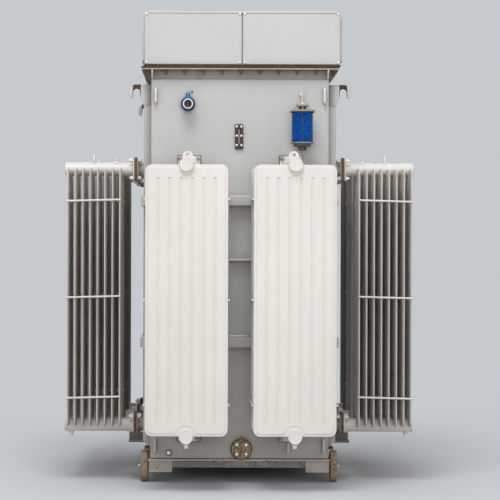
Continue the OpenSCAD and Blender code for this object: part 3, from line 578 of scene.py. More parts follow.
def finish(name, color, roughness, patch, dirt=None, edge=None, chips=None, rusty=None, where=None,
           corners=None, wall=None, ripple=0.25, metallic=0.0, coat=0.0):
    """Painted or unpainted metal from the groups; dirt, edge, chips, rusty, corners and wall hold those
    groups' own values: corners gives painted shade, wall painted shade towards the walls, and a light
    edge tone a painted highlight; where limits the rust to a mask."""
    material = bpy.data.materials.new(name)
    tree = emptied(material)

    def fed(which, values):
        """Outputs of a group that is given these values."""
        return add(tree, "ShaderNodeGroup", values, node_tree=which).outputs

    film = fed(FILM, {"Color": color, "Patchiness": patch})
    now, height, soil_mask = film["Color"], film["Height"], None
    # light edge tones are painted highlights, dark ones chipped paint
    for edge_mark in (edge, chips):
        if edge_mark:
            now = fed(EDGE_LIGHT_AND_WEAR, {"Color": now, **edge_mark})["Color"]
    if rusty:
        patches = fed(RUST, {"Color": now, **rusty})
        inside = where(tree) if where else 1.0
        now = mixed(tree, inside, now, patches["Color"])
        soil_mask = times(tree, patches["Mask"], inside)
        height = maths(tree, "ADD", height, times(tree, patches["Height"], inside))
    # painted shade in creases and hollows, with some dirt in fine grooves
    if corners:
        now = fed(CREASE_SHADE, {"Color": now, **corners})["Color"]
    # painted shade towards the side walls
    if wall:
        now = fed(WALL_SHADE, {"Color": now, **wall})["Color"]
    if dirt:
        soiled = fed(GRIME, {"Color": now, **dirt})
        now = soiled["Color"]
        soil_mask = maths(tree, "MAXIMUM", soil_mask, soiled["Mask"]) if soil_mask else soiled["Mask"]
    gloss = span(tree, film["Unevenness"], 0.3, 0.7, roughness - GLOSS_SPREAD, roughness + GLOSS_SPREAD)
    if soil_mask:
        gloss = maths(tree, "ADD", gloss, times(tree, soil_mask, SOIL_DULLS), clamp=True)
    bump = add(tree, "ShaderNodeBump", {"Height": height, "Strength": ripple, "Distance": RIPPLE_DEPTH})
    shader = add(tree, "ShaderNodeBsdfPrincipled", {
        "Base Color": now, "Roughness": gloss, "Metallic": metallic, "Coat Weight": coat,
        "Coat Roughness": 0.2, "Normal": bump.outputs[0]})
    add(tree, "ShaderNodeOutputMaterial", {"Surface": shader.outputs[0]})
    return material


def soil(color, runs, foot=0.0, dust=0.0, height=0.5):
    """Values for grime."""
    return {"Dirt": color, "Runs": runs, "Foot": foot, "Foot height": height, "Dust": dust}


def edge_tone(color, reach, amount, rarity=0.45, grain=60.0):
    """Edge values, reach in millimetres; a tone lighter than the paint is a painted highlight."""
    return {"Edge tone": color, "Reach": reach * MM, "Amount": amount, "Grain": grain, "Rarity": rarity}


def nooks(color, reach, amount, sky_height=100.0):
    """Values for the crease group's painted shade, with its reach in millimetres."""
    return {"Dirt": color, "Reach": reach * MM, "Amount": amount, "Sky light height": sky_height}


def rusted(cover, light, dark=(0.09, 0.045, 0.025)):
    """Values for rust."""
    return {"Cover": cover, "Light rust": light, "Dark rust": dark}


def worn_arm(tree):
    """1 on the arms of the lifting hooks, where slings rub the paint off, and 0 elsewhere."""
    out = maths(tree, "ABSOLUTE", component(tree, 0))
    out = maths(tree, "ADD", out, times(tree, noise(tree, 50.0), 0.008))
    return times(tree, span(tree, out, 0.651, 0.655), span(tree, out, 0.708, 0.702))


# The dark dirt colour below also gives the hooks' painted shade; the post colour is painted shade only.
DIRT_AND_SHADE, WARM_DUST, CREAM_DIRT = (0.13, 0.11, 0.09), (0.36, 0.315, 0.28), (0.30, 0.23, 0.17)
CREAM_PAINT, CREAM_EDGE_LIGHT = (0.76, 0.723, 0.685), (0.92, 0.905, 0.88)
POST_SHADE, BROWN_DIRT, BASE_DIRT = (0.16, 0.14, 0.12), (0.12, 0.085, 0.06), (0.25, 0.22, 0.19)
CHIP = edge_tone((0.10, 0.055, 0.035), 4, 0.85, 0.61, 24.0)
# Tank paint: light edge tone as a painted highlight, painted shade 60 mm into corners and under belts.
TANK = finish("tank grey", (0.505, 0.508, 0.50), 0.42, 0.05, soil(WARM_DUST, 0.05, 0.6, 0.1, 1.1),
    edge_tone((0.80, 0.80, 0.79), 3, 0.7), CHIP, corners=nooks((0.17, 0.15, 0.13), 60, 0.55))
# Near-white edge tone: painted highlight along the belts' rounded edges.
BELT = finish("belt grey", (0.53, 0.53, 0.515), 0.42, 0.05, soil(WARM_DUST, 0.05, 0.3, 0.0, 1.1),
    edge_tone((0.95, 0.95, 0.94), 9, 1.0, 0.15), CHIP)
# Posts darker than the tank paint as painted shade, with more painted shade in corners and near the wall.
SHADED_POST = finish("post in painted shade", (0.44, 0.435, 0.42), 0.45, 0.06, soil(WARM_DUST, 0.1, 0.4, 0.1, 1.1),
    edge_tone((0.66, 0.66, 0.65), 3, 0.5), CHIP, corners=nooks(POST_SHADE, 60, 0.6),
    wall={"Dirt": POST_SHADE, "Clear": 0.63, "Amount": 0.6})
# Near-black jacking brackets: painted shade under the tank's corners, above the wheels.
SHADED_BRACKET = finish("bracket in painted shade", (0.125, 0.112, 0.098), 0.7, 0.15, soil((0.05, 0.042, 0.035), 0.3, 0.0, 0.1),
    edge_tone((0.22, 0.20, 0.18), 4, 0.6))
# Rim leg darker than the tank paint as painted shade under the flange, deepest just under it.
SHADED_RIM = finish("rim grey", (0.36, 0.35, 0.33), 0.5, 0.10, soil(DIRT_AND_SHADE, 0.3),
    corners=nooks((0.11, 0.09, 0.075), 70, 0.8))
# Paler than the tank paint: painted light on lugs, end gussets and breather fittings standing out.
LIT_GREY = finish("grey with painted light", (0.72, 0.715, 0.70), 0.42, 0.06, soil(DIRT_AND_SHADE, 0.2, 0.3, 0.0, 1.0),
    edge_tone((0.85, 0.85, 0.84), 3, 0.7))
# Side gussets dark and mottled as painted shade under the flange, with real rust patches.
SHADED_GUSSET = finish("gusset in painted shade", (0.13, 0.112, 0.092), 0.65, 0.2, soil((0.07, 0.055, 0.045), 0.5, 0.0, 0.1),
    rusty=rusted(0.45, (0.22, 0.18, 0.14), (0.045, 0.033, 0.025)), ripple=0.4)
# Hook plates: painted shade in corners and towards the wall, painted highlight on edges; rust on the arms.
HOOK_PAINT = finish("hook grey", (0.53, 0.52, 0.495), 0.5, 0.06, soil(DIRT_AND_SHADE, 0.3),
    edge_tone((0.66, 0.655, 0.63), 4, 0.6), corners=nooks(DIRT_AND_SHADE, 90, 0.8),
    rusty=rusted(1.0, (0.075, 0.042, 0.024), (0.03, 0.016, 0.009)), where=worn_arm,
    wall={"Dirt": (0.13, 0.115, 0.095), "Clear": 0.642, "Amount": 0.85})
TAN_EDGE = finish("flange edge", (0.46, 0.36, 0.27), 0.55, 0.10, soil(BROWN_DIRT, 0.3, 0.0, 0.1),
    edge_tone((0.62, 0.50, 0.40), 2, 0.8))
LID_BROWN = finish("lid brown", (0.052, 0.028, 0.017), 0.7, 0.2, soil((0.10, 0.075, 0.055), 0.1, 0.0, 0.3),
    rusty=rusted(0.45, (0.11, 0.058, 0.032), (0.028, 0.015, 0.010)), ripple=0.5)
# Box covers: near-white edge tone as a painted highlight along their rounded edges; darker joints.
BOX = finish("box grey", (0.55, 0.542, 0.53), 0.40, 0.02, soil(DIRT_AND_SHADE, 0.02, 0.0, 0.03),
    edge_tone((0.88, 0.88, 0.87), 4, 1.0, 0.30), corners=nooks((0.14, 0.13, 0.12), 12, 0.8))
# Radiator cream: painted highlight along bends, painted shade with some dirt in the grooves.
CREAM = finish("radiator cream", CREAM_PAINT, 0.36, 0.025, soil(CREAM_DIRT, 0.05, height=0.9),
    edge_tone(CREAM_EDGE_LIGHT, 3.5, 0.9, 0.25), CHIP, corners=nooks((0.45, 0.395, 0.32), 10, 0.5))
# The radiator cream with painted shade between panels, thinned by painted sky light above 1.55 m.
SHADED_CREAM = finish("cream in painted shade", CREAM_PAINT, 0.4, 0.05, soil(CREAM_DIRT, 0.1),
    edge_tone(CREAM_EDGE_LIGHT, 3, 0.9, 0.25), CHIP, corners=nooks((0.24, 0.205, 0.165), 45, 0.7, 1.55))
STAINED = finish("stained cream", (0.36, 0.265, 0.19), 0.55, 0.2,
    soil((0.05, 0.035, 0.025), 0.8, 0.2, 0.1, 1.2), edge_tone((0.50, 0.42, 0.34), 3, 0.8))
RUSTY = finish("rusty plate", (0.19, 0.12, 0.085), 0.7, 0.15, soil(BROWN_DIRT, 0.2, 0.1, 0.2),
    rusty=rusted(0.5, (0.26, 0.155, 0.10)), ripple=0.5)
# Bore of the valve darkened as painted shade inside it.
SHADED_THROAT = finish("valve bore in painted shade", (0.115, 0.095, 0.08), 0.7, 0.2, soil((0.04, 0.03, 0.025), 0.4, 0.0, 0.2),
    ripple=0.5)
BROWN_COVER = finish("brown cover", (0.36, 0.265, 0.17), 0.65, 0.2, soil((0.34, 0.28, 0.20), 0.3, 0.0, 0.2),
    rusty=rusted(0.75, (0.42, 0.31, 0.205), (0.13, 0.085, 0.055)), ripple=0.6)
BASE = finish("base grey", (0.47, 0.435, 0.40), 0.6, 0.16, soil(BASE_DIRT, 0.3, 0.2, 0.3, 0.2),
    edge_tone((0.58, 0.56, 0.54), 6, 1.0, 0.38), rusty=rusted(0.30, (0.37, 0.335, 0.30), (0.20, 0.165, 0.14)),
    ripple=0.5)
# Darker than the base grey as painted shade under the tank, with real rust.
SHADED_BEAM = finish("beam in painted shade", (0.28, 0.255, 0.235), 0.7, 0.2, soil((0.10, 0.085, 0.07), 0.3, 0.2, 0.3, 0.2),
    rusty=rusted(0.5, (0.33, 0.30, 0.275), (0.15, 0.13, 0.115)), ripple=0.7)
# Dark paint, partly painted shade: on the drain's flange ring it stands in for shadow round the cover.
DARK_AND_SHADE = finish("dark paint and painted shade", (0.07, 0.06, 0.052), 0.75, 0.15,
    soil((0.12, 0.10, 0.08), 0.3, 0.2, 0.3, 0.3))
WHEEL = finish("wheel iron", (0.32, 0.235, 0.17), 0.72, 0.25, soil((0.40, 0.33, 0.27), 0.0, 0.0, 0.5),
    edge_tone((0.55, 0.44, 0.34), 5, 0.8), rusty=rusted(0.55, (0.38, 0.27, 0.19), (0.17, 0.11, 0.07)),
    ripple=1.0)
GASKET = finish("gasket cork", (0.035, 0.023, 0.017), 0.85, 0.2, soil((0.09, 0.065, 0.05), 0.2, 0.0, 0.2),
    ripple=0.6)
# Dark bead as a painted shadow along the foot of the walls, with rust.
SHADED_WELD = finish("weld in painted shade", (0.09, 0.07, 0.055), 0.75, 0.3, soil(BASE_DIRT, 0.2, 0.0, 0.1),
    rusty=rusted(0.45, (0.30, 0.27, 0.24), (0.02, 0.014, 0.011)), ripple=0.6)
# Near-white beads as painted highlights on the welds over the lower belt and along the thin bar.
LIT_WELD = finish("weld with painted highlight", (0.92, 0.92, 0.91), 0.5, 0.10, soil(DIRT_AND_SHADE, 0.2), ripple=0.4)
ZINC = finish("zinc bolts", (0.72, 0.72, 0.70), 0.32, 0.10, soil(BASE_DIRT, 0.2, 0.1, 0.2), metallic=0.6)
BRIGHT = finish("bright bolts", (0.90, 0.895, 0.88), 0.34, 0.06, soil((0.35, 0.31, 0.27), 0.15),
    metallic=0.15)
# Darker copy of the bright bolts: painted shade on the end radiators' bolts; light edges a painted highlight.
SHADED_BOLTS = finish("bolts in painted shade", (0.40, 0.39, 0.37), 0.42, 0.2, soil((0.12, 0.09, 0.07), 0.5, 0.0, 0.1),
    edge_tone((0.75, 0.74, 0.72), 2, 0.8), metallic=0.3)
STEEL = finish("dark bolts", (0.13, 0.115, 0.10), 0.5, 0.15, soil((0.16, 0.12, 0.10), 0.3, 0.0, 0.2),
    metallic=0.4)
# Valve: light edge tones are painted highlights; the bonnet's paler blue is painted light from above.
NAVY = finish("valve navy", (0.010, 0.045, 0.125), 0.30, 0.15, soil((0.12, 0.15, 0.20), 0.15, 0.0, 0.2),
    edge_tone((0.13, 0.33, 0.58), 6, 0.9), coat=0.25)
LIT_BLUE = finish("valve blue with painted light", (0.008, 0.105, 0.30), 0.28, 0.10, soil((0.10, 0.20, 0.34), 0.10, 0.0, 0.2),
    edge_tone((0.16, 0.42, 0.72), 3, 0.8), coat=0.3)
PALE_BLUE = finish("blue cap", (0.22, 0.42, 0.68), 0.35, 0.05)
RING_WHITE = finish("ring white", (0.70, 0.73, 0.76), 0.35, 0.08, soil((0.2, 0.18, 0.16), 0.3),
    edge_tone((0.88, 0.90, 0.92), 2, 0.8))
TAN = finish("tan enamel", (0.45, 0.35, 0.25), 0.5, 0.10, soil((0.12, 0.09, 0.07), 0.3, 0.0, 0.05),
    edge_tone((0.74, 0.66, 0.55), 3, 0.8))
GREY_GREEN = finish("breather plate", (0.30, 0.32, 0.30), 0.45, 0.08, soil(DIRT_AND_SHADE, 0.2, 0.0, 0.1),
    edge_tone((0.50, 0.52, 0.48), 2, 0.7))
OLIVE = finish("breather cup", (0.13, 0.125, 0.10), 0.55, 0.15, soil((0.04, 0.035, 0.027), 0.4, 0.0, 0.2))
GAUGE = finish("gauge enamel", (0.042, 0.014, 0.012), 0.55, 0.15, soil((0.09, 0.055, 0.05), 0.15, 0.0, 0.1),
    edge_tone((0.20, 0.13, 0.12), 2, 0.4))
WINDOW = finish("sight glass", (0.17, 0.14, 0.13), 0.35, 0.15)
PRIMER = finish("red primer", (0.26, 0.09, 0.07), 0.6, 0.15, edge=edge_tone((0.55, 0.32, 0.28), 4, 0.8))


def glass():
    """Clear glass: a plain transmitting shader."""
    material = bpy.data.materials.new("clear glass")
    material.use_nodes = True
    shader = material.node_tree.nodes["Principled BSDF"]
    for key, value in {"Base Color": (0.93, 0.96, 0.97, 1), "Roughness": 0.01, "IOR": 1.12,
                       "Transmission Weight": 1.0}.items():
        shader.inputs[key].default_value = value
    return material


def gel():
    """Blue beads, each of its own tone: random cells a bead across pick between two blues."""
    material = bpy.data.materials.new("blue gel")
    material.use_nodes = True
    tree = material.node_tree
    where = add(tree, "ShaderNodeTexCoord").outputs["Object"]
    cells = add(tree, "ShaderNodeTexVoronoi", {"Vector": where, "Scale": 190.0}).outputs["Color"]
    tone = add(tree, "ShaderNodeSeparateColor", {0: cells}).outputs[0]
    color = mixed(tree, span(tree, tone, 0.6, 1.0), (0.0, 0.062, 0.36), (0.02, 0.27, 0.72))
    shader = tree.nodes["Principled BSDF"]
    shader.inputs["Specular IOR Level"].default_value = 0.1
    tree.links.new(color, shader.inputs["Base Color"])
    tree.links.new(span(tree, tone, 0.0, 1.0, 0.35, 0.55), shader.inputs["Roughness"])
    return material


GLASS, GEL = glass(), gel()


# ---- radiators ----


def top_of(y):
    """Height of a panel's outline above its middle: straight, then a quarter circle at the corner."""
    beyond = np.clip(np.abs(y) - (PANEL_HALF_W - PANEL_CORNER), 0, PANEL_CORNER)
    return PANEL_HALF_H - PANEL_CORNER + np.sqrt(PANEL_CORNER**2 - beyond**2)


def panel_thickness(y, z):
    """Half the thickness of a panel at (y, z) from its middle, in words: a seam with a rolled rim runs
    round the edge, steps up to the full thickness inside it, stays down in a circle round each header
    pipe, and dips in upright grooves with round ends. That is rim + (PANEL_HALF_T - SEAM_T) rise -
    (PANEL_HALF_T - GROOVE_T) rise dip, with rise and dip from 0 to 1."""
    dy = np.abs(y) - (PANEL_HALF_W - PANEL_CORNER)
    dz = np.abs(z) - (PANEL_HALF_H - PANEL_CORNER)
    beyond = np.hypot(np.maximum(dy, 0), np.maximum(dz, 0))
    edge = PANEL_CORNER - beyond - np.minimum(np.maximum(dy, dz), 0)
    rim = SEAM_T * np.sqrt(np.clip(1 - (1 - np.clip(edge / SEAM_ROLL, 0, 1)) ** 2, 0, 1))
    rise = smooth((edge - SEAM_W) / SEAM_RISE)
    rise = rise * smooth((np.hypot(y, np.abs(z) - PANEL_HALF_H) - RECESS_R) / RECESS_RISE)
    which = np.clip(np.round(y / GROOVE_PITCH - 0.5), -GROOVES / 2, GROOVES / 2 - 1) + 0.5
    ends = np.maximum(z - (PANEL_HALF_H - GROOVE_TOP), (GROOVE_FOOT - PANEL_HALF_H) - z)
    away = np.hypot(y - GROOVE_PITCH * which, np.maximum(ends, 0))
    dip = 1 - smooth((away - GROOVE_HALF) / GROOVE_RISE)
    return rim + (PANEL_HALF_T - SEAM_T) * rise - (PANEL_HALF_T - GROOVE_T) * rise * dip


def panel(x, fine):
    """Two pressed sheets joined at the rim: x + or - panel_thickness over a grid of columns across
    and rows that follow the outline from its top and its foot, close together where the sheet bends."""
    if fine:
        bends = [-9.2, -8.2, -7.1, -6, 0, 6, 7.1, 8.2, 9.2]
        rims = [260, 259.5, 258.5, 257, 250, 245, 244, 243, 242, 241, 236]
        between = [0, 12, 24, 50, 56, 61, 64, 66, 69, 225, 215]
        drops = [0, 0.5, 1.5, 3, 9, 15, 16, 17, 18.5, 27, 36, 46, 54, 60, 63, 65, 66.5, 68.5, 72, 75, 76, 77,
                 78.5, 79.5, 80.5, 82, 83, 84, 85, 86.5, 88.5, 91, 96]
        middle = [300.0, 850.0]
    else:
        bends, rims, between = [-9.2, -6, 6, 9.2], [260, 259, 257, 245, 240], [0, 58, 72]
        drops, middle = [0, 1, 3, 15, 19, 45, 63, 69, 76, 86, 93], [850.0]
    centres = GROOVE_PITCH * (np.arange(GROOVES) - (GROOVES - 1) / 2)
    bent, rims, between = centres[:, None] + np.array(bends), np.array(rims), np.array(between)
    columns = np.unique(np.concatenate([bent.ravel(), rims, -rims, between, -between]))
    from_top = np.array(drops + middle)[:, None]
    top = top_of(np.broadcast_to(columns[None], (len(from_top), len(columns))))
    upper = top - from_top * top / PANEL_HALF_H
    z = np.concatenate([upper, -upper[-2::-1]])
    y = np.broadcast_to(columns[None], z.shape)
    t = panel_thickness(y, z)
    z = z + HEADER_MID
    front = grid(np.stack([x + t, y, z], -1))
    back = grid(np.stack([x - t, y, z], -1)[:, ::-1])
    return joined([front, back])


def header(z):
    """Pipe along X with a bead of weld at each face of each panel and a cap welded on its end."""
    r = HEADER_R
    profile = [(r - 8, JOINT + 4), (r, JOINT + 4), (r, JOINT + FIN_FLANGE + 1)]
    for x in FIRST_PANEL + PANEL_PITCH * np.arange(PANELS):
        for side in (-1, 1):
            c = x + side * (SEAM_T + 1.5)
            profile += [(r, c - 3), (r + PIPE_BEAD, c - 1), (r + PIPE_BEAD, c + 1), (r, c + 3)]
    cap = [(0, 11), (1.2, 9.5), (1.2, 8.5), (0, 7), (0, 3), (1.2, 0.8), (3.5, 0.4), (6, 1.4), (14, 1.6)]
    profile += [(r - thinner, HEADER_END - back) for thinner, back in cap]
    points, faces = facing(turned(profile, 40), "+x")
    # the panels reach the pipe on the side towards their middle only, so its other half has no beads
    away = points[:, 2] * np.sign(z - HEADER_MID)
    round_pipe = np.hypot(points[:, 1], points[:, 2])
    shrink = np.where((away > 3) & (round_pipe > r), r / np.maximum(round_pipe, 1), 1.0)
    points = points * np.stack([np.ones_like(shrink), shrink, shrink], -1)
    return moved((points, faces), (0, 0, z))


def eye_plate():
    """Arched plate across the header with a hole through it, standing along X: the outer outline is a
    half circle above its middle and straight below, and each of its points has one on the hole."""
    half_w, hole_r, hole_rise = 34.0, 12.0, 10.0
    middle = HEADER_R + 47.0 - half_w
    a = np.linspace(0, 2 * np.pi, 32, endpoint=False) + np.pi / 32
    c, s = np.cos(a), np.sin(a)
    stretch = np.where(s > 0, 1.0, 1 / np.maximum(np.abs(c), np.abs(s)))
    outer = np.stack([half_w * c * stretch, half_w * s * stretch + middle], -1)
    inner = np.stack([hole_r * c, hole_r * s + middle + hole_rise], -1)
    return sideways(ringed(outer, inner, -5.0, 5.0))


def plug():
    """Boss on the header with a capped plug in it."""
    steps = [(26, -6), (25, 0), (17, 8), (14, 9), (14, 13), (13, 14), (13, 15), (14, 16), (14, 28.5),
             (12, 31)]
    return turned([(r, HEADER_R + h) for r, h in steps], 24)


def brace(z, side):
    """Rod welded across the edges of the panels, a little lower at its outer end."""
    last = FIRST_PANEL + PANEL_PITCH * (PANELS - 1)
    y = side * (PANEL_HALF_W + 6)
    return rod((FIRST_PANEL - 7, y, z + 5), (last + 7, y, z - 5), BRACE_R)


def on_headers(*shapes):
    """Shapes built along Z, standing along the upper header and along the lower one."""
    return joined([moved(facing(s, "+x"), (0, 0, z)) for z in (UPPER_Z, LOWER_Z) for s in shapes])


def fins(panels):
    """One radiator with the panels in a range; the pipes and fittings go with the last panel."""
    shapes = [panel(FIRST_PANEL + PANEL_PITCH * i, i in (0, PANELS - 1)) for i in panels]
    if PANELS - 1 in panels:
        shapes += [header(UPPER_Z), header(LOWER_Z), moved(eye_plate(), (EYE_X, 0, UPPER_Z))]
        shapes.append(moved(plug(), (VENT_X, 0, UPPER_Z)))
        shapes.append(moved(facing(plug(), "-z"), (DRAIN_PLUG_X, 0, LOWER_Z)))
        shapes += [brace(z, side) for z in BRACE_Z for side in (1, -1)]
        shapes.append(on_headers(weld_ring(HEADER_R + 1, JOINT + FIN_FLANGE + 1, 4.0)))
    return joined(shapes)


def flange(low, high, wider=0.0, corner=3.0, soft=1.5):
    """Square plate of a joint from low to high, with its sides longer than the flange's by wider."""
    return plate(rectangle(2 * FLANGE_HALF + wider, 2 * FLANGE_HALF + wider, corner), low, high, soft)


def tank_flanges():
    """The tank's half of each joint: flange plate, pipe and the beads at both its ends."""
    end = JOINT - TANK_FLANGE
    beads = [weld_ring(HEADER_R + 1, h, 4.0) for h in (2.0, end)]
    return on_headers(flange(end, JOINT - 8), turned([(HEADER_R, 0), (HEADER_R, end + 2)], 40), *beads)


def flange_bolts():
    """Four bolts through each pair of flanges, with a nut and the thread's end on both sides."""
    out = moved(facing(bolt(8, 12, 11), "+x"), (JOINT + FIN_FLANGE, 0, 0))
    back = moved(facing(bolt(8, 12, 6), "-x"), (JOINT - TANK_FLANGE, 0, 0))
    at = (-BOLT_AT, BOLT_AT)
    places = [(0, y, level + z) for level in (UPPER_Z, LOWER_Z) for y in at for z in at]
    return joined([repeated(out, places), repeated(back, places)])


def on_side(shape, side, y):
    """Stands a radiator's shape on the right wall (side 1) or its mirror image on the left (-1)."""
    return flipped(moved(shape, (HALF_W, y, 0)), side)


def on_end(shape, side, end):
    """Stands it on the front wall (end 1) or rear (-1), splayed outwards on the right or left."""
    x, y, z = shape[0].T
    c, s = math.cos(SPLAY - math.pi / 2), math.sin(SPLAY - math.pi / 2)
    points = np.stack([FRONT_X + x * c - y * s, -HALF_D + x * s + y * c, z], -1)
    return flipped((points, shape[1]), side, end)


# for each radiator: how it stands, on which side, and its place along the wall or its end
RADIATORS = {}
for side, hand in ((-1, "left"), (1, "right")):
    for y, place in zip(SIDE_YS, ("front", "middle", "rear")):
        RADIATORS[f"{hand}_radiator_{place}"] = (on_side, side, y)
    for end, place in ((1, "front"), (-1, "rear")):
        RADIATORS[f"{place}_radiator_{hand}"] = (on_end, side, end)

INNER, MIDDLE, OUTER = fins(range(1)), fins(range(1, PANELS - 1)), fins(range(PANELS - 1, PANELS))
FIN_FLANGES, TANK_FLANGES = on_headers(flange(JOINT + 11, JOINT + FIN_FLANGE)), tank_flanges()
# rusty inner halves of both flanges, a little proud of them, with the gasket between
RUSTY_HALVES = on_headers(flange(JOINT - 8.5, JOINT - 1, 11, 2.0, 1.0),
                          flange(JOINT + 1, JOINT + 11.5, 11, 2.0, 1.0))
SEALS = on_headers(flange(JOINT - 1.2, JOINT + 1.2, -6, 0.0, 0.3))
BOLTS = flange_bolts()
for node, (stand, side, at) in RADIATORS.items():
    # Middle and inner panels take the cream with painted shade; some inner panels are stained brown.
    inner = STAINED if node.endswith("_rear") or node == "left_radiator_middle" else SHADED_CREAM
    looks = ((OUTER, CREAM), (MIDDLE, SHADED_CREAM), (INNER, inner), (FIN_FLANGES, CREAM))
    piece(node + "_fins", [(stand(shape, side, at), look) for shape, look in looks],
          stands_for=[node])
piece("pipe_stubs", [(stand(TANK_FLANGES, side, at), TANK) for stand, side, at in RADIATORS.values()],
      stands_for=["radiator_pipes"])
piece("flange_gaskets", [(stand(shape, side, at), look) for stand, side, at in RADIATORS.values()
                         for shape, look in ((RUSTY_HALVES, RUSTY), (SEALS, GASKET))])
# Bolts on the front and rear radiators take the copy in painted shade.
piece("flange_bolts", [(stand(BOLTS, side, at), SHADED_BOLTS if stand is on_end else BRIGHT)
                       for stand, side, at in RADIATORS.values()])


# ---- tank ----


def wall_sheet(w):
    """Upright sheet whose outer face sinks by hollow (1 - u^2) (1 - v^6) (0.6 + 0.4 sin), with u across
    and v up from -1 to 1, so that its edges stay where they are."""
    low, high, thick, hollow = WALL_Z, LEG_Z, 8.0, 1.6
    x, z = np.linspace(-w / 2, w / 2, 33), np.linspace(low, high, 65)
    u, v = np.meshgrid(2 * x / w, (2 * z - low - high) / (high - low))
    sink = hollow * (1 - u**2) * (1 - v**6) * (0.6 + 0.4 * np.sin(7.3 * v + 2.1 * u))
    outer = np.stack([np.broadcast_to(x, sink.shape), sink, np.broadcast_to(z[:, None], sink.shape)], -1)
    back = [np.stack([np.full(len(z), s * w / 2), np.full(len(z), thick), z], -1) for s in (1, -1)]
    back = np.stack(back, 1)
    return tube(np.concatenate([outer, back], 1))


def four_walls(name, node, front, right, material):
    """A piece for each wall: the front shape and its mirror image to the rear, the right one and its
    mirror image to the left."""
    shapes = {"front": front, "rear": flipped(front, 1, -1), "right": right, "left": flipped(right, -1)}
    for wall, shape in shapes.items():
        piece(name.format(wall), [(shape, material)], stands_for=[node.format(wall)])


def to_right_wall(shape):
    """Shape on the plane y = 0, turned to the right and moved onto the right wall."""
    return shape[0] @ np.array([[0.0, 1, 0], [-1, 0, 0], [0, 0, 1]]) + [HALF_W, 0, 0], shape[1]


four_walls("{}_wall_sheet", "tank_{}_wall", moved(wall_sheet(2 * HALF_W), (0, -HALF_D, 0)),
           to_right_wall(wall_sheet(2 * HALF_D - 16)), TANK)


def around(extra):
    """Outline of the tank moved outwards by extra."""
    return rectangle(2 * (HALF_W + extra), 2 * (HALF_D + extra))


def gusset(drop, foot=()):
    """Plate under the rim flange, its outline out from the wall and down from the flange."""
    return plate([*foot, (14, -drop), (61, -12), (61, 0), (0, 0)], -5.0, 5.0)


side_gusset = upright(gusset(80, [(0, -62), (3, -62), (3, -80)]))
side_gussets = joined([four_ways(moved(side_gusset, (HALF_W - 3, y, RIM_Z))) for y in GUSSET_Y])
end_gusset = flipped(sideways(gusset(57, [(0, -57)])), 1, -1)
end_gussets = four_ways(moved(end_gusset, (HALF_W - END_GUSSET_IN, 3 - HALF_D, RIM_Z)))
# The rim leg and side gussets take painted shade, the end gussets painted light.
piece("rim_plates", [
    (ringed(around(-3), around(RIM_HOLE), LEG_Z, RIM_Z, 1.5), SHADED_RIM),
    (side_gussets, SHADED_GUSSET), (end_gussets, LIT_GREY),
    (ringed(around(RIM_LIP), around(RIM_HOLE), RIM_Z, RIM_Z + FLANGE_T, 1.2), TAN_EDGE),
], stands_for=["tank_rim"])
rim_places = [(x, s * (HALF_D + RIM_BOLT_OUT), RIM_Z)
              for x in RIM_PITCH * (np.arange(RIM_ROW) - RIM_ROW // 2) + RIM_ROW_MID for s in (-1, 1)]
rim_places += [(s * (HALF_W + RIM_BOLT_OUT), y, RIM_Z)
               for y in RIM_PITCH * (np.arange(RIM_COLUMN) - RIM_COLUMN // 2) for s in (-1, 1)]
piece("rim_bolts", [(repeated(facing(bolt(7, 9, 20), "-z"), rim_places), STEEL)])

BELT_SECTION = np.concatenate([
    [(0, 0)], arc(BELT_OUT - 5, 5, 5, -90, 0, 5), arc(BELT_OUT - 7, BELT_H - 7, 7, 0, 90, 6), [(0, BELT_H)]])


def end_belts():
    """Belts across the front wall, and the thin bar between them."""
    w, d = HALF_W, HALF_D
    shapes = [carried(BELT_SECTION, [(w, -d, z), (-w, -d, z)], (0, -1, 0)) for z in BELT_Z]
    bar = block((-BAR_HALF_W, -d - BAR_OUT, BAR_Z), (BAR_HALF_W, -d, BAR_Z + BAR_T), 3.0)
    return joined(shapes + [bar])


def side_belts():
    """Belts along the right wall, as long as the tank and the front and rear belts together."""
    end = HALF_D + BELT_OUT
    return joined([carried(BELT_SECTION, [(HALF_W, end, z), (HALF_W, -end, z)], (1, 0, 0)) for z in BELT_Z])


four_walls("{}_belt_bars", "{}_belts", end_belts(), side_belts(), BELT)

HOOK = np.concatenate([
    [(0, -146), (50, -146), (75, -73)], arc(98, -49, 23, 180, 0, 14), arc(134.5, -74.5, 13.5, 180, 360, 10),
    arc(102, -46, 46, 0, 90, 12), [(0, 0)],
])
hook = moved(upright(plate(HOOK, -15, 15, 3.5)), (HALF_W, POST_Y[1], HOOK_TOP))
piece("lifting_hook_plates", [(four_ways(hook), HOOK_PAINT)], stands_for=["lifting_hooks"],
      merge=False)


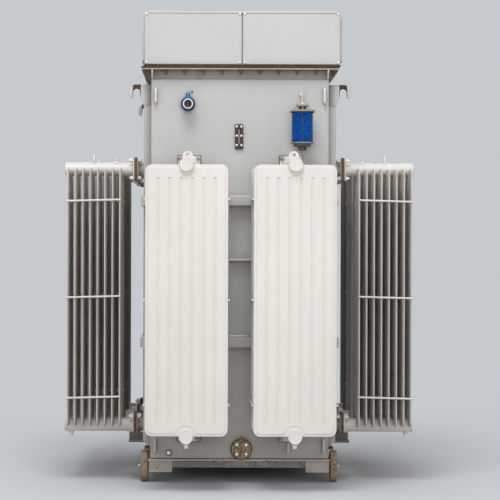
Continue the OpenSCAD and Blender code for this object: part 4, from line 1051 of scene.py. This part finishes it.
def fillet_welds():
    """Weld beads where the tank's plates meet, for the front right quarter and its mirror images."""
    w, d = HALF_W, HALF_D
    beads = [
        weld((w - 0.5, 0.5 - d, WALL_Z), (w - 0.5, 0.5 - d, LEG_Z), 2.5),
        weld((0, -d - 1, LEG_Z), (w - 3, -d - 1, LEG_Z), 2.2),
        weld((w + 1, 2 - d, LEG_Z), (w + 1, 0, LEG_Z), 2.2),
    ]
    for z in BELT_Z:
        for at in (z, z + BELT_H):
            beads += [weld((0, -d - 1, at), (w, -d - 1, at)), weld((w + 1, -d, at), (w + 1, 0, at))]
        out = -d - BELT_OUT + 0.5
        beads.append(weld((w, out, z + 4), (w, out, z + BELT_H - 8), 1.8))
    steps = (POST_FOOT, *(level for z in BELT_Z for level in (z, z + BELT_H)), HOOK_FOOT)
    for y in POST_Y:
        for s in (-1, 1):
            edge = y + s * POST_HALF
            for low, high in zip(steps[::2], steps[1::2]):
                beads.append(weld((w + 1, -edge, low), (w + 1, -edge, high), 2.6))
        front = -y - POST_HALF
        beads.append(weld((w + 4, front, HOOK_FOOT + 1), (w + 48, front, HOOK_FOOT + 1), 2.0))
    for s in (-1, 1):
        x = LUG_X + LUG_HALF_T * s
        beads += [weld((x, -d - 1, low), (x, -d - 1, high), 2.2) for low, high in LUG_SPANS]
        x = w - END_GUSSET_IN + 6 * s
        beads.append(weld((x, -d - 2, LEG_Z + 9), (x, -d - 2, RIM_Z - 5), 1.6))
    return four_ways(joined(beads))


def foot_welds():
    """Beads between the walls and the bottom plate, in front, behind, on the right and on the left."""
    w, d, z = HALF_W, HALF_D, WALL_Z + 2
    return joined([
        weld((-w, -d - 2, z), (w, -d - 2, z), 4.0), weld((w, d + 2, z), (-w, d + 2, z), 4.0),
        weld((w + 2, -d, z), (w + 2, d, z), 4.0), weld((-w - 2, -d, z), (-w - 2, d, z), 4.0),
    ])


def belt_welds():
    """Short bead on the front wall over the lower belt, and one along the thin bar's upper edge."""
    over_belt, out, top = BELT_Z[0] + 74, -HALF_D - BAR_OUT + 3, BAR_Z + BAR_T
    return joined([
        weld((-66, -HALF_D - 3, over_belt), (48, -HALF_D - 3, over_belt), 7.0),
        weld((-BAR_HALF_W, out, top), (BAR_HALF_W, out, top), 4.4),
    ])


beads_piece("tank_welds", fillet_welds(), TANK)
# The foot beads are dark as a painted shadow of the joint.
beads_piece("foot_welds", foot_welds(), SHADED_WELD)
# The belt beads are near-white as painted highlights.
beads_piece("belt_welds", belt_welds(), LIT_WELD)


def on_wall(shape, x, z):
    """Shape built along Z, standing out from the front wall."""
    return moved(facing(shape, "-y"), (x, -HALF_D, z))


# ---- valve ----

valve_body = turned([
    (31, 0), (31, 5), (25, 8), (24, 12), (24, 44), (33, 46), (40, 48.5), (45, 53), (48, 60), (48, 82),
    (46, 89), (41, 95), (35, 98), (35, 100), (25, 100), (25, 78)], 40)
valve_ring = turned([(33, 99), (33, 109.5), (31, 112), (26.5, 112), (25.2, 110.5), (25.2, 99)], 40, loop=True)
valve_mouth = turned([(25.1, 76), (25.1, 110), (23.6, 110), (23.6, 88), (21, 85), (8, 84)], 32)
# The mouth's inside is darkened as painted shade.
looks = ((valve_body, NAVY), (valve_ring, RING_WHITE), (valve_mouth, SHADED_THROAT))
piece("valve_shell", [(on_wall(shape, VALVE_X, VALVE_Z), look) for shape, look in looks],
      stands_for=["valve_body"])

bonnet = turned([(33, 34), (27, 42), (21, 47), (19, 50), (19, 54), (14, 55)], 24)
ball = turned(arc(0, BALL_H, 15, -62, 74, 11), 24)
cap = joined([turned([(8.5, 73), (8.5, 79), (7, 81)], 16), block((-8, -5, 74), (21, 5, 86), 2.0)])
pin = moved(facing(turned([(4.6, -4), (4.6, 1), (3.4, 2.2)], 16), "-y"), (0, -14.5, BALL_H))
lever = upright(plate([(20, 73), (25, 66), (32, 67), (34, 80), (29, 87), (20, 86)], -4, 4, 1.2))
looks = ((bonnet, LIT_BLUE), (ball, LIT_BLUE), (cap, PALE_BLUE), (pin, PALE_BLUE), (lever, RUSTY))
bonnet_foot = (VALVE_X, -HALF_D - BONNET_OUT, VALVE_Z)
piece("valve_gland", [(moved(shape, bonnet_foot), look) for shape, look in looks],
      stands_for=["valve_spindle"])


# ---- breather ----

PIPE_R, PIPE_BEND = 9, 34
BREATHER_AXIS = (BREATHER_X, BREATHER_Y, 0)
elbow = BREATHER_Y + PIPE_BEND
route = [(BREATHER_X, -HALF_D, AIR_Z), (BREATHER_X, elbow + 6, AIR_Z)]
route += [(BREATHER_X, elbow + y, AIR_Z - PIPE_BEND + z) for y, z in arc(0, 0, PIPE_BEND, 90, 180, 9)]
route += [(BREATHER_X, BREATHER_Y, 2466)]
air_pipe = carried(circle(PIPE_R, 16), route, (1, 0, 0))
nub = rod((BREATHER_X - 6, -1000, 2531), (BREATHER_X - 19, -1004, 2524), 5.5, 10)
collar = on_wall(turned([(16, 0), (16, 5), (14.5, 6.5), (9, 7)], 24), BREATHER_X, AIR_Z)
foot = moved(hexagon(17, 10), (BREATHER_X, BREATHER_Y, 2467))
# The nub, collar and nut are pale as painted light.
piece("breather_air_pipe", [(air_pipe, TANK), (joined([nub, collar, foot]), LIT_GREY)],
      stands_for=["breather_pipe"])


def on_axis(profile, steps=40, loop=False):
    """Profile of (r, z) turned round the breather's axis."""
    return moved(turned(profile, steps, loop), BREATHER_AXIS)


def studs(r, at, low, high, angles):
    """Short round bars standing round the axis."""
    a = np.radians(angles)
    one = turned([(r * 0.8, low), (r, low + 1), (r, high - 1), (r * 0.8, high)], 10)
    return moved(repeated(one, np.stack([at * np.cos(a), at * np.sin(a), 0 * a], -1)), BREATHER_AXIS)


piece("breather_head_plates", [
    (on_axis([(38, 2451), (42.5, 2455), (42.5, 2464), (40.5, 2467), (17, 2468)]), TAN),
    (on_axis([(21, 2427), (21, 2444), (36, 2452)]), DARK_AND_SHADE),
    (studs(4.5, 28, 2427, 2453, [-90, -30, 30, 90, 150, 210]), TAN),
    (on_axis([(77, 2415), (80, 2417), (80, 2426), (78, 2428), (21, 2429)], 56), GREY_GREEN),
    (on_axis([(78, 2411), (79, 2412), (79, 2416), (60, 2416)], 56), GASKET),
], stands_for=["breather_head"])
glass_wall = on_axis([(71, 2217), (71, 2412), (69.5, 2412), (69.5, 2217)], 64, loop=True)
piece("breather_glass_wall", [(glass_wall, GLASS)], stands_for=["breather_glass"])


def beads():
    """Round beads packed round the axis in rows, every other row half a bead on."""
    rows, across, row_r, first, rise = 31, 58, 65.2, 2221.5, 6.15
    i, j = np.meshgrid(np.arange(rows), np.arange(across), indexing="ij")
    a = 2 * np.pi * (j + 0.5 * (i % 2)) / across + rng.normal(0, 0.012, i.shape)
    out = row_r + rng.normal(0, 0.25, i.shape)
    z = first + rise * i + rng.normal(0, 0.5, i.shape)
    one = turned([(1.6, -3.3), (3.5, -1.3), (3.5, 1.3), (1.6, 3.3)], 6)
    return moved(repeated(one, np.stack([out * np.cos(a), out * np.sin(a), z], -1)), BREATHER_AXIS)


piece("breather_beads", [(beads(), GEL), (on_axis([(64.5, 2219), (64.5, 2410)]), GEL)],
      stands_for=["breather_gel"], angle=60, merge=False)
turn = np.linspace(0, 2 * np.pi, 33)
c, s = np.cos(turn), np.sin(turn)
bail = np.stack([BREATHER_X + 26 + 30 * c, BREATHER_Y + 24 * s, 2158 + 4 * c], -1)
piece("breather_cup_plates", [
    (on_axis([(78, 2211), (80, 2213), (80, 2216), (78, 2218), (60, 2218)], 56), GREY_GREEN),
    (on_axis([(26, 2189), (51, 2191), (56, 2197), (58, 2204), (58, 2211)], 48), OLIVE),
    (on_axis([(21, 2167), (25, 2169), (26, 2173), (26, 2190)], 32), OLIVE),
    (studs(3.5, 27, 2170, 2189, [-140, -62, -50, 20, 80, 130]), DARK_AND_SHADE),
    (carried(circle(1.8, 6), bail, (0, 0, 1)), TANK),
], stands_for=["breather_cup"])


# ---- gauge, drain and earthing ----

DOME = turned([(8, 0), (8, 2.5), (7, 5), (4.5, 6.8), (1.5, 7.4)], 12)
gauge_frame = joined([ringed(rectangle(53, 161, 5), rectangle(12, 100, 5.9), 3, 14, 1.5),
                      plate(rectangle(53, 161, 5), 0, 4)])
gauge_bolts = repeated(facing(DOME, "-y"), [(x, -14, z) for x in (-15, 15) for z in (-55, 6, 66)])
piece("gauge_plates", [
    (on_wall(gauge_frame, GAUGE_X, GAUGE_Z), GAUGE),
    (moved(gauge_bolts, (GAUGE_X, -HALF_D, GAUGE_Z)), BRIGHT),
], stands_for=["gauge_frame"])
piece("gauge_window", [(on_wall(plate(rectangle(12.4, 100.4, 6), 3.5, 11, 1.5), GAUGE_X, GAUGE_Z), WINDOW)],
      stands_for=["gauge_glass"])

# The dark flange ring round the blank stands in for the shade round the cover.
piece("drain_neck", [
    (on_wall(turned([(46, 0), (43, 3), (40, 6), (40, 24)], 40), DRAIN_X, DRAIN_Z), TANK),
    (on_wall(turned([(68, 22), (70, 24), (70, 36), (68, 38)], 56), DRAIN_X, DRAIN_Z), DARK_AND_SHADE),
], stands_for=["drain_flange"])
blank = turned([(63, 38), (64, 40), (64, 51.5), (62, 54), (24, 53.6), (22, 52.8)], 56)
tab = block((DRAIN_X - 12, -HALF_D - 54, DRAIN_Z + 57), (DRAIN_X + 12, -HALF_D - 38, DRAIN_Z + 85), 2.0)
piece("drain_blank", [(on_wall(blank, DRAIN_X, DRAIN_Z), BROWN_COVER), (tab, PRIMER)],
      stands_for=["drain_cover"])
drain_places = [(x, -52, z) for x in (-DRAIN_BOLT_AT, DRAIN_BOLT_AT) for z in (-DRAIN_BOLT_AT, DRAIN_BOLT_AT)]
drain_bolts = repeated(facing(bolt(5.2, 8), "-y"), drain_places)
piece("drain_bolts", [(moved(drain_bolts, (DRAIN_X, -HALF_D, DRAIN_Z)), BRIGHT)])


def earthing(shape):
    """On the front wall left of the middle, and turned half round on the rear wall."""
    one = moved(shape, (EARTH_X, -HALF_D, EARTH_Z))
    return joined([one, flipped(one, -1, -1)])


boss = facing(turned([(19, 0), (19, 19), (17, 22)], 28), "-y")
stud = moved(facing(bolt(7, 8), "-y"), (0, -22, 0))
piece("earthing_studs", [(earthing(boss), DARK_AND_SHADE), (earthing(stud), BRIGHT)],
      stands_for=["earthing_bosses"])


# ---- top box ----


def pan(w, h, t):
    """Sheet cover: flat back, quarter-round edges inset by edge (1 - cos a), and a face sunk a little
    in its middle."""
    edge, corner, face_in, sunk = 4.0, 3.0, 45.0, 1.0
    outline = rectangle(w, h, corner)
    a = np.linspace(0, np.pi / 2, 5)
    levels = [(0.0, 0.0), *zip(edge * (1 - np.cos(a)), t - edge + edge * np.sin(a))]
    face = rectangle(w - 2 * face_in, h - 2 * face_in, corner)
    return stacked([(inset(outline, d), z) for d, z in levels] + [(face, t - sunk)])


def cover(name, node, sheet, bolts):
    """A piece for the sheet and a piece for its bolts."""
    piece(name, [(sheet, BOX)], stands_for=[node])
    piece(name + "_bolts", [(bolts, BRIGHT)])


COVER_W = (BOX_RIGHT - BOX_LEFT - COVER_GAP) / 2
COVER_MID = (COVER_Z + COVER_TOP) / 2
FRONT_COVERS = {"left": BOX_LEFT + COVER_W / 2, "right": BOX_RIGHT - COVER_W / 2}
front_pan = facing(pan(COVER_W, COVER_TOP - COVER_Z, COVER_T), "-y")
across, up = COVER_W / 2 - COVER_BOLT_IN, (COVER_TOP - COVER_Z) / 2 - COVER_BOLT_IN
front_domes = repeated(facing(DOME, "-y"),
                       [(x, -COVER_T + BOLT_SUNK, z) for x in (-across, across) for z in (-up, up)])
for name, x in FRONT_COVERS.items():
    at = (x, -BOX_HALF_D, COVER_MID)
    cover(f"front_{name}_pan", f"front_cover_{name}", moved(front_pan, at), moved(front_domes, at))
rear_pans, rear_domes = (
    joined([flipped(moved(shape, (x, -BOX_HALF_D, COVER_MID)), 1, -1) for x in FRONT_COVERS.values()])
    for shape in (front_pan, front_domes))
piece("rear_pans", [(rear_pans, BOX)], stands_for=["rear_covers"])
piece("rear_pan_bolts", [(rear_domes, BRIGHT)])
side_pan = sideways(pan(2 * SIDE_COVER_HALF, SIDE_COVER_H, SIDE_COVER_T))
side_domes = repeated(facing(DOME, "+x"), [
    (SIDE_COVER_T - BOLT_SUNK, y, z) for y in (-885, -295, 295, 885) for z in (-128, 128)])
for name, x, way in (("left", BOX_LEFT, -1), ("right", BOX_RIGHT, 1)):
    sheet, bolts = (moved(flipped(shape, way), (x, 0, COVER_MID)) for shape in (side_pan, side_domes))
    cover(f"side_{name}_pan", f"side_cover_{name}", sheet, bolts)

seal_outline = rectangle(BOX_RIGHT - BOX_LEFT + 2 * SEAL_OUT, 2 * SEAL_HALF_D)
box_seal = ringed(seal_outline, inset(seal_outline, SEAL_W), SEAL_LOW, SEAL_HIGH)
piece("box_seal", [(moved(box_seal, (BOX_MID, 0, 0)), LID_BROWN)])


# ---- base ----


def skid():
    """Box beam along Y with rounded corners, its end plates set back inside its walls."""
    half = [(8, 4.5), (8, 1), (7, 0), (1.2, 0), (0, 1.2)]
    levels = [(d, -SKID_END + z) for d, z in half] + [(d, SKID_END - z) for d, z in reversed(half)]
    return upright(stacked([(rectangle(SKID_W - 2 * d, SKID_H - 2 * d, max(SKID_CORNER - d, 0.4)), y)
                            for d, y in levels]))


def skid_welds():
    """Beads along the top edges of the right skid's front half, and its mirror images."""
    inner, outer, z = SKID_X - SKID_W / 2, SKID_X + SKID_W / 2, SKID_TOP
    return four_ways(joined([
        weld((inner, 4 - SKID_END, z), (outer, 4 - SKID_END, z), 2.6),
        weld((outer + 1, 10 - SKID_END, z), (outer + 1, 0, z)),
        weld((inner - 1, 70 - SKID_END, z), (inner - 1, 0, z)),
    ]))


piece("skid_boxes", [(joined([moved(skid(), (s * SKID_X, 0, SKID_MID_Z)) for s in (-1, 1)]), BASE)],
      stands_for=["skid_beams"])
beads_piece("skid_welds", skid_welds(), BASE)

pin_profile = [(19, 0), (20, 1), (20, 207), (28.5, 208), (30, 209.5), (30, 211), (28.5, 212), (9, 212.5)]
axle_pins = turned(pin_profile, 32)
axle_tips = turned([(9, 211), (9, 223), (7.5, 225.5), (5, 226)], 20)
piece("axle_pins", [(four_ways(moved(facing(shape, "+x"), (AXLE_IN, -AXLE_Y, AXLE_Z))), look)
                    for shape, look in ((axle_pins, WHEEL), (axle_tips, ZINC))],
      stands_for=["axles"])


def wheel():
    """Cast wheel along Z: rounded tread, a web set back between rim and hub, and ribs across it."""
    profile = [
        (20.4, 0.5), (96, 0.5), (100.5, 2), (102.4, 6), (103, 14), (103, 33), (102.4, 41), (100.5, 45),
        (96, 46.8), (86, 46.6), (82, 44), (78, 39.6), (74, 39), (45, 39), (41, 41), (38.5, 46),
        (36, 46.9), (20.4, 46.9)]
    shapes = [turned(profile, 64, loop=True)]
    ribs = 6
    points, faces = block((42, -4, 38), (79, 4, 45.5), 1.5)
    for a in np.radians(np.arange(ribs) * 360.0 / ribs):
        c, s = math.cos(a), math.sin(a)
        shapes.append((points @ np.array([[c, s, 0], [-s, c, 0], [0, 0, 1]]), faces))
    return facing(joined(shapes), "+x")


for x, side in ((-1, "left"), (1, "right")):
    for y, end in ((-1, "front"), (1, "rear")):
        node = f"wheel_{end}_{side}"
        shape = flipped(moved(wheel(), (WHEEL_X, y * AXLE_Y, AXLE_Z)), x)
        piece(node + "_casting", [(shape, WHEEL)], body=node, stands_for=[node])


# ---- plates that keep the shape of their CAD node ----

# Side posts, cross beams and jacking brackets take painted shade, wall lugs painted light.
for node, material, width in (
    ("tank_bottom", BASE, 2.0), ("lid_gasket", GASKET, 0.8), ("tank_lid", LID_BROWN, 1.2),
    ("side_posts", SHADED_POST, 3.0), ("wall_lugs", LIT_GREY, 2.5), ("box_shell", BOX, 1.2),
    ("cross_beams", SHADED_BEAM, 2.0), ("jacking_brackets", SHADED_BRACKET, 2.0),
):
    softened(node, material, width)


# ---- floor, light and camera ----

SHOWN, FLOOR_HALF = (0.56, 0.59, 0.62), 150.0


def seen(tree):
    """1 for what the camera sees, straight or by way of gloss or glass, and 0 for the light cast."""
    path = add(tree, "ShaderNodeLightPath").outputs
    straight = maths(tree, "MAXIMUM", path["Is Camera Ray"], path["Is Glossy Ray"])
    return maths(tree, "MAXIMUM", straight, path["Is Transmission Ray"])


def pale_floor():
    """Floor that takes shadows near the object and fades into the world's colour."""
    mesh = bpy.data.meshes.new("floor")
    mesh.from_pydata([(x * FLOOR_HALF, y * FLOOR_HALF, 0) for x, y in ((-1, -1), (1, -1), (1, 1), (-1, 1))],
                     [], [[0, 1, 2, 3]])
    floor = linked("floor", mesh)
    material = bpy.data.materials.new("pale floor")
    tree = emptied(material)
    shown = seen(tree)
    color = mixed(tree, shown, (0.50, 0.485, 0.46), (0.62, 0.645, 0.67))
    near = add(tree, "ShaderNodeBsdfDiffuse", {"Color": color})
    far = add(tree, "ShaderNodeEmission", {"Color": SHOWN, "Strength": 1.0})
    where = add(tree, "ShaderNodeTexCoord").outputs["Object"]
    away = add(tree, "ShaderNodeVectorMath", {0: where}, operation="LENGTH").outputs["Value"]
    fade = times(tree, span(tree, away, 2.2, 6.5), shown)
    both = add(tree, "ShaderNodeMixShader", {0: fade, 1: near.outputs[0], 2: far.outputs[0]})
    add(tree, "ShaderNodeOutputMaterial", {"Surface": both.outputs[0]})
    mesh.materials.append(material)


def pale_world():
    """World that looks flat and pale and gives a little light."""
    world = bpy.data.worlds.new("studio")
    bpy.context.scene.world = world
    tree = emptied(world)
    light = add(tree, "ShaderNodeBackground", {"Color": (0.97, 0.98, 1.0), "Strength": 0.6})
    shown = add(tree, "ShaderNodeBackground", {"Color": SHOWN, "Strength": 1.0})
    both = add(tree, "ShaderNodeMixShader", {0: seen(tree), 1: light.outputs[0], 2: shown.outputs[0]})
    add(tree, "ShaderNodeOutputWorld", {"Surface": both.outputs[0]})


pale_floor()
pale_world()
for name, place, aim, size, power in (
    ("top light", (-0.8, -5.0, 8.5), (0, -0.3, 1.2), 3.6, 345),
    ("front light", (0.8, -12.0, 2.6), (0, 0, 1.2), 5.0, 270),
    ("left light", (-7.5, -3.0, 3.0), (0, 0, 1.5), 4.0, 20),
    ("right light", (7.5, -3.0, 3.0), (0, 0, 1.5), 4.0, 20),
    ("rear light", (0.0, 9.0, 6.0), (0, 0, 1.4), 5.0, 170),
):
    lamp = bpy.data.lights.new(name, "AREA")
    lamp.shape, lamp.size, lamp.energy = "SQUARE", size, power
    obj = linked(name, lamp)
    obj.location = place
    way = mathutils.Vector(np.array(aim, float) - np.array(place, float))
    obj.rotation_euler = way.to_track_quat("-Z", "Y").to_euler()

view = bpy.data.cameras.new("camera")
view.sensor_width, view.lens = 36.0, 140.04
view.shift_x, view.shift_y = 0.0820, -0.0078
view.clip_start, view.clip_end = 0.1, 400.0
camera = linked("camera", view)
camera.location = (-0.200, -13.6, 1.546)
camera.rotation_mode = "QUATERNION"
roll = mathutils.Quaternion((0, 1, 0), math.radians(-0.17))
camera.rotation_quaternion = roll @ mathutils.Euler((math.radians(90), 0, 0)).to_quaternion()
bpy.context.scene.camera = camera
bpy.context.scene.view_settings.view_transform = "Standard"
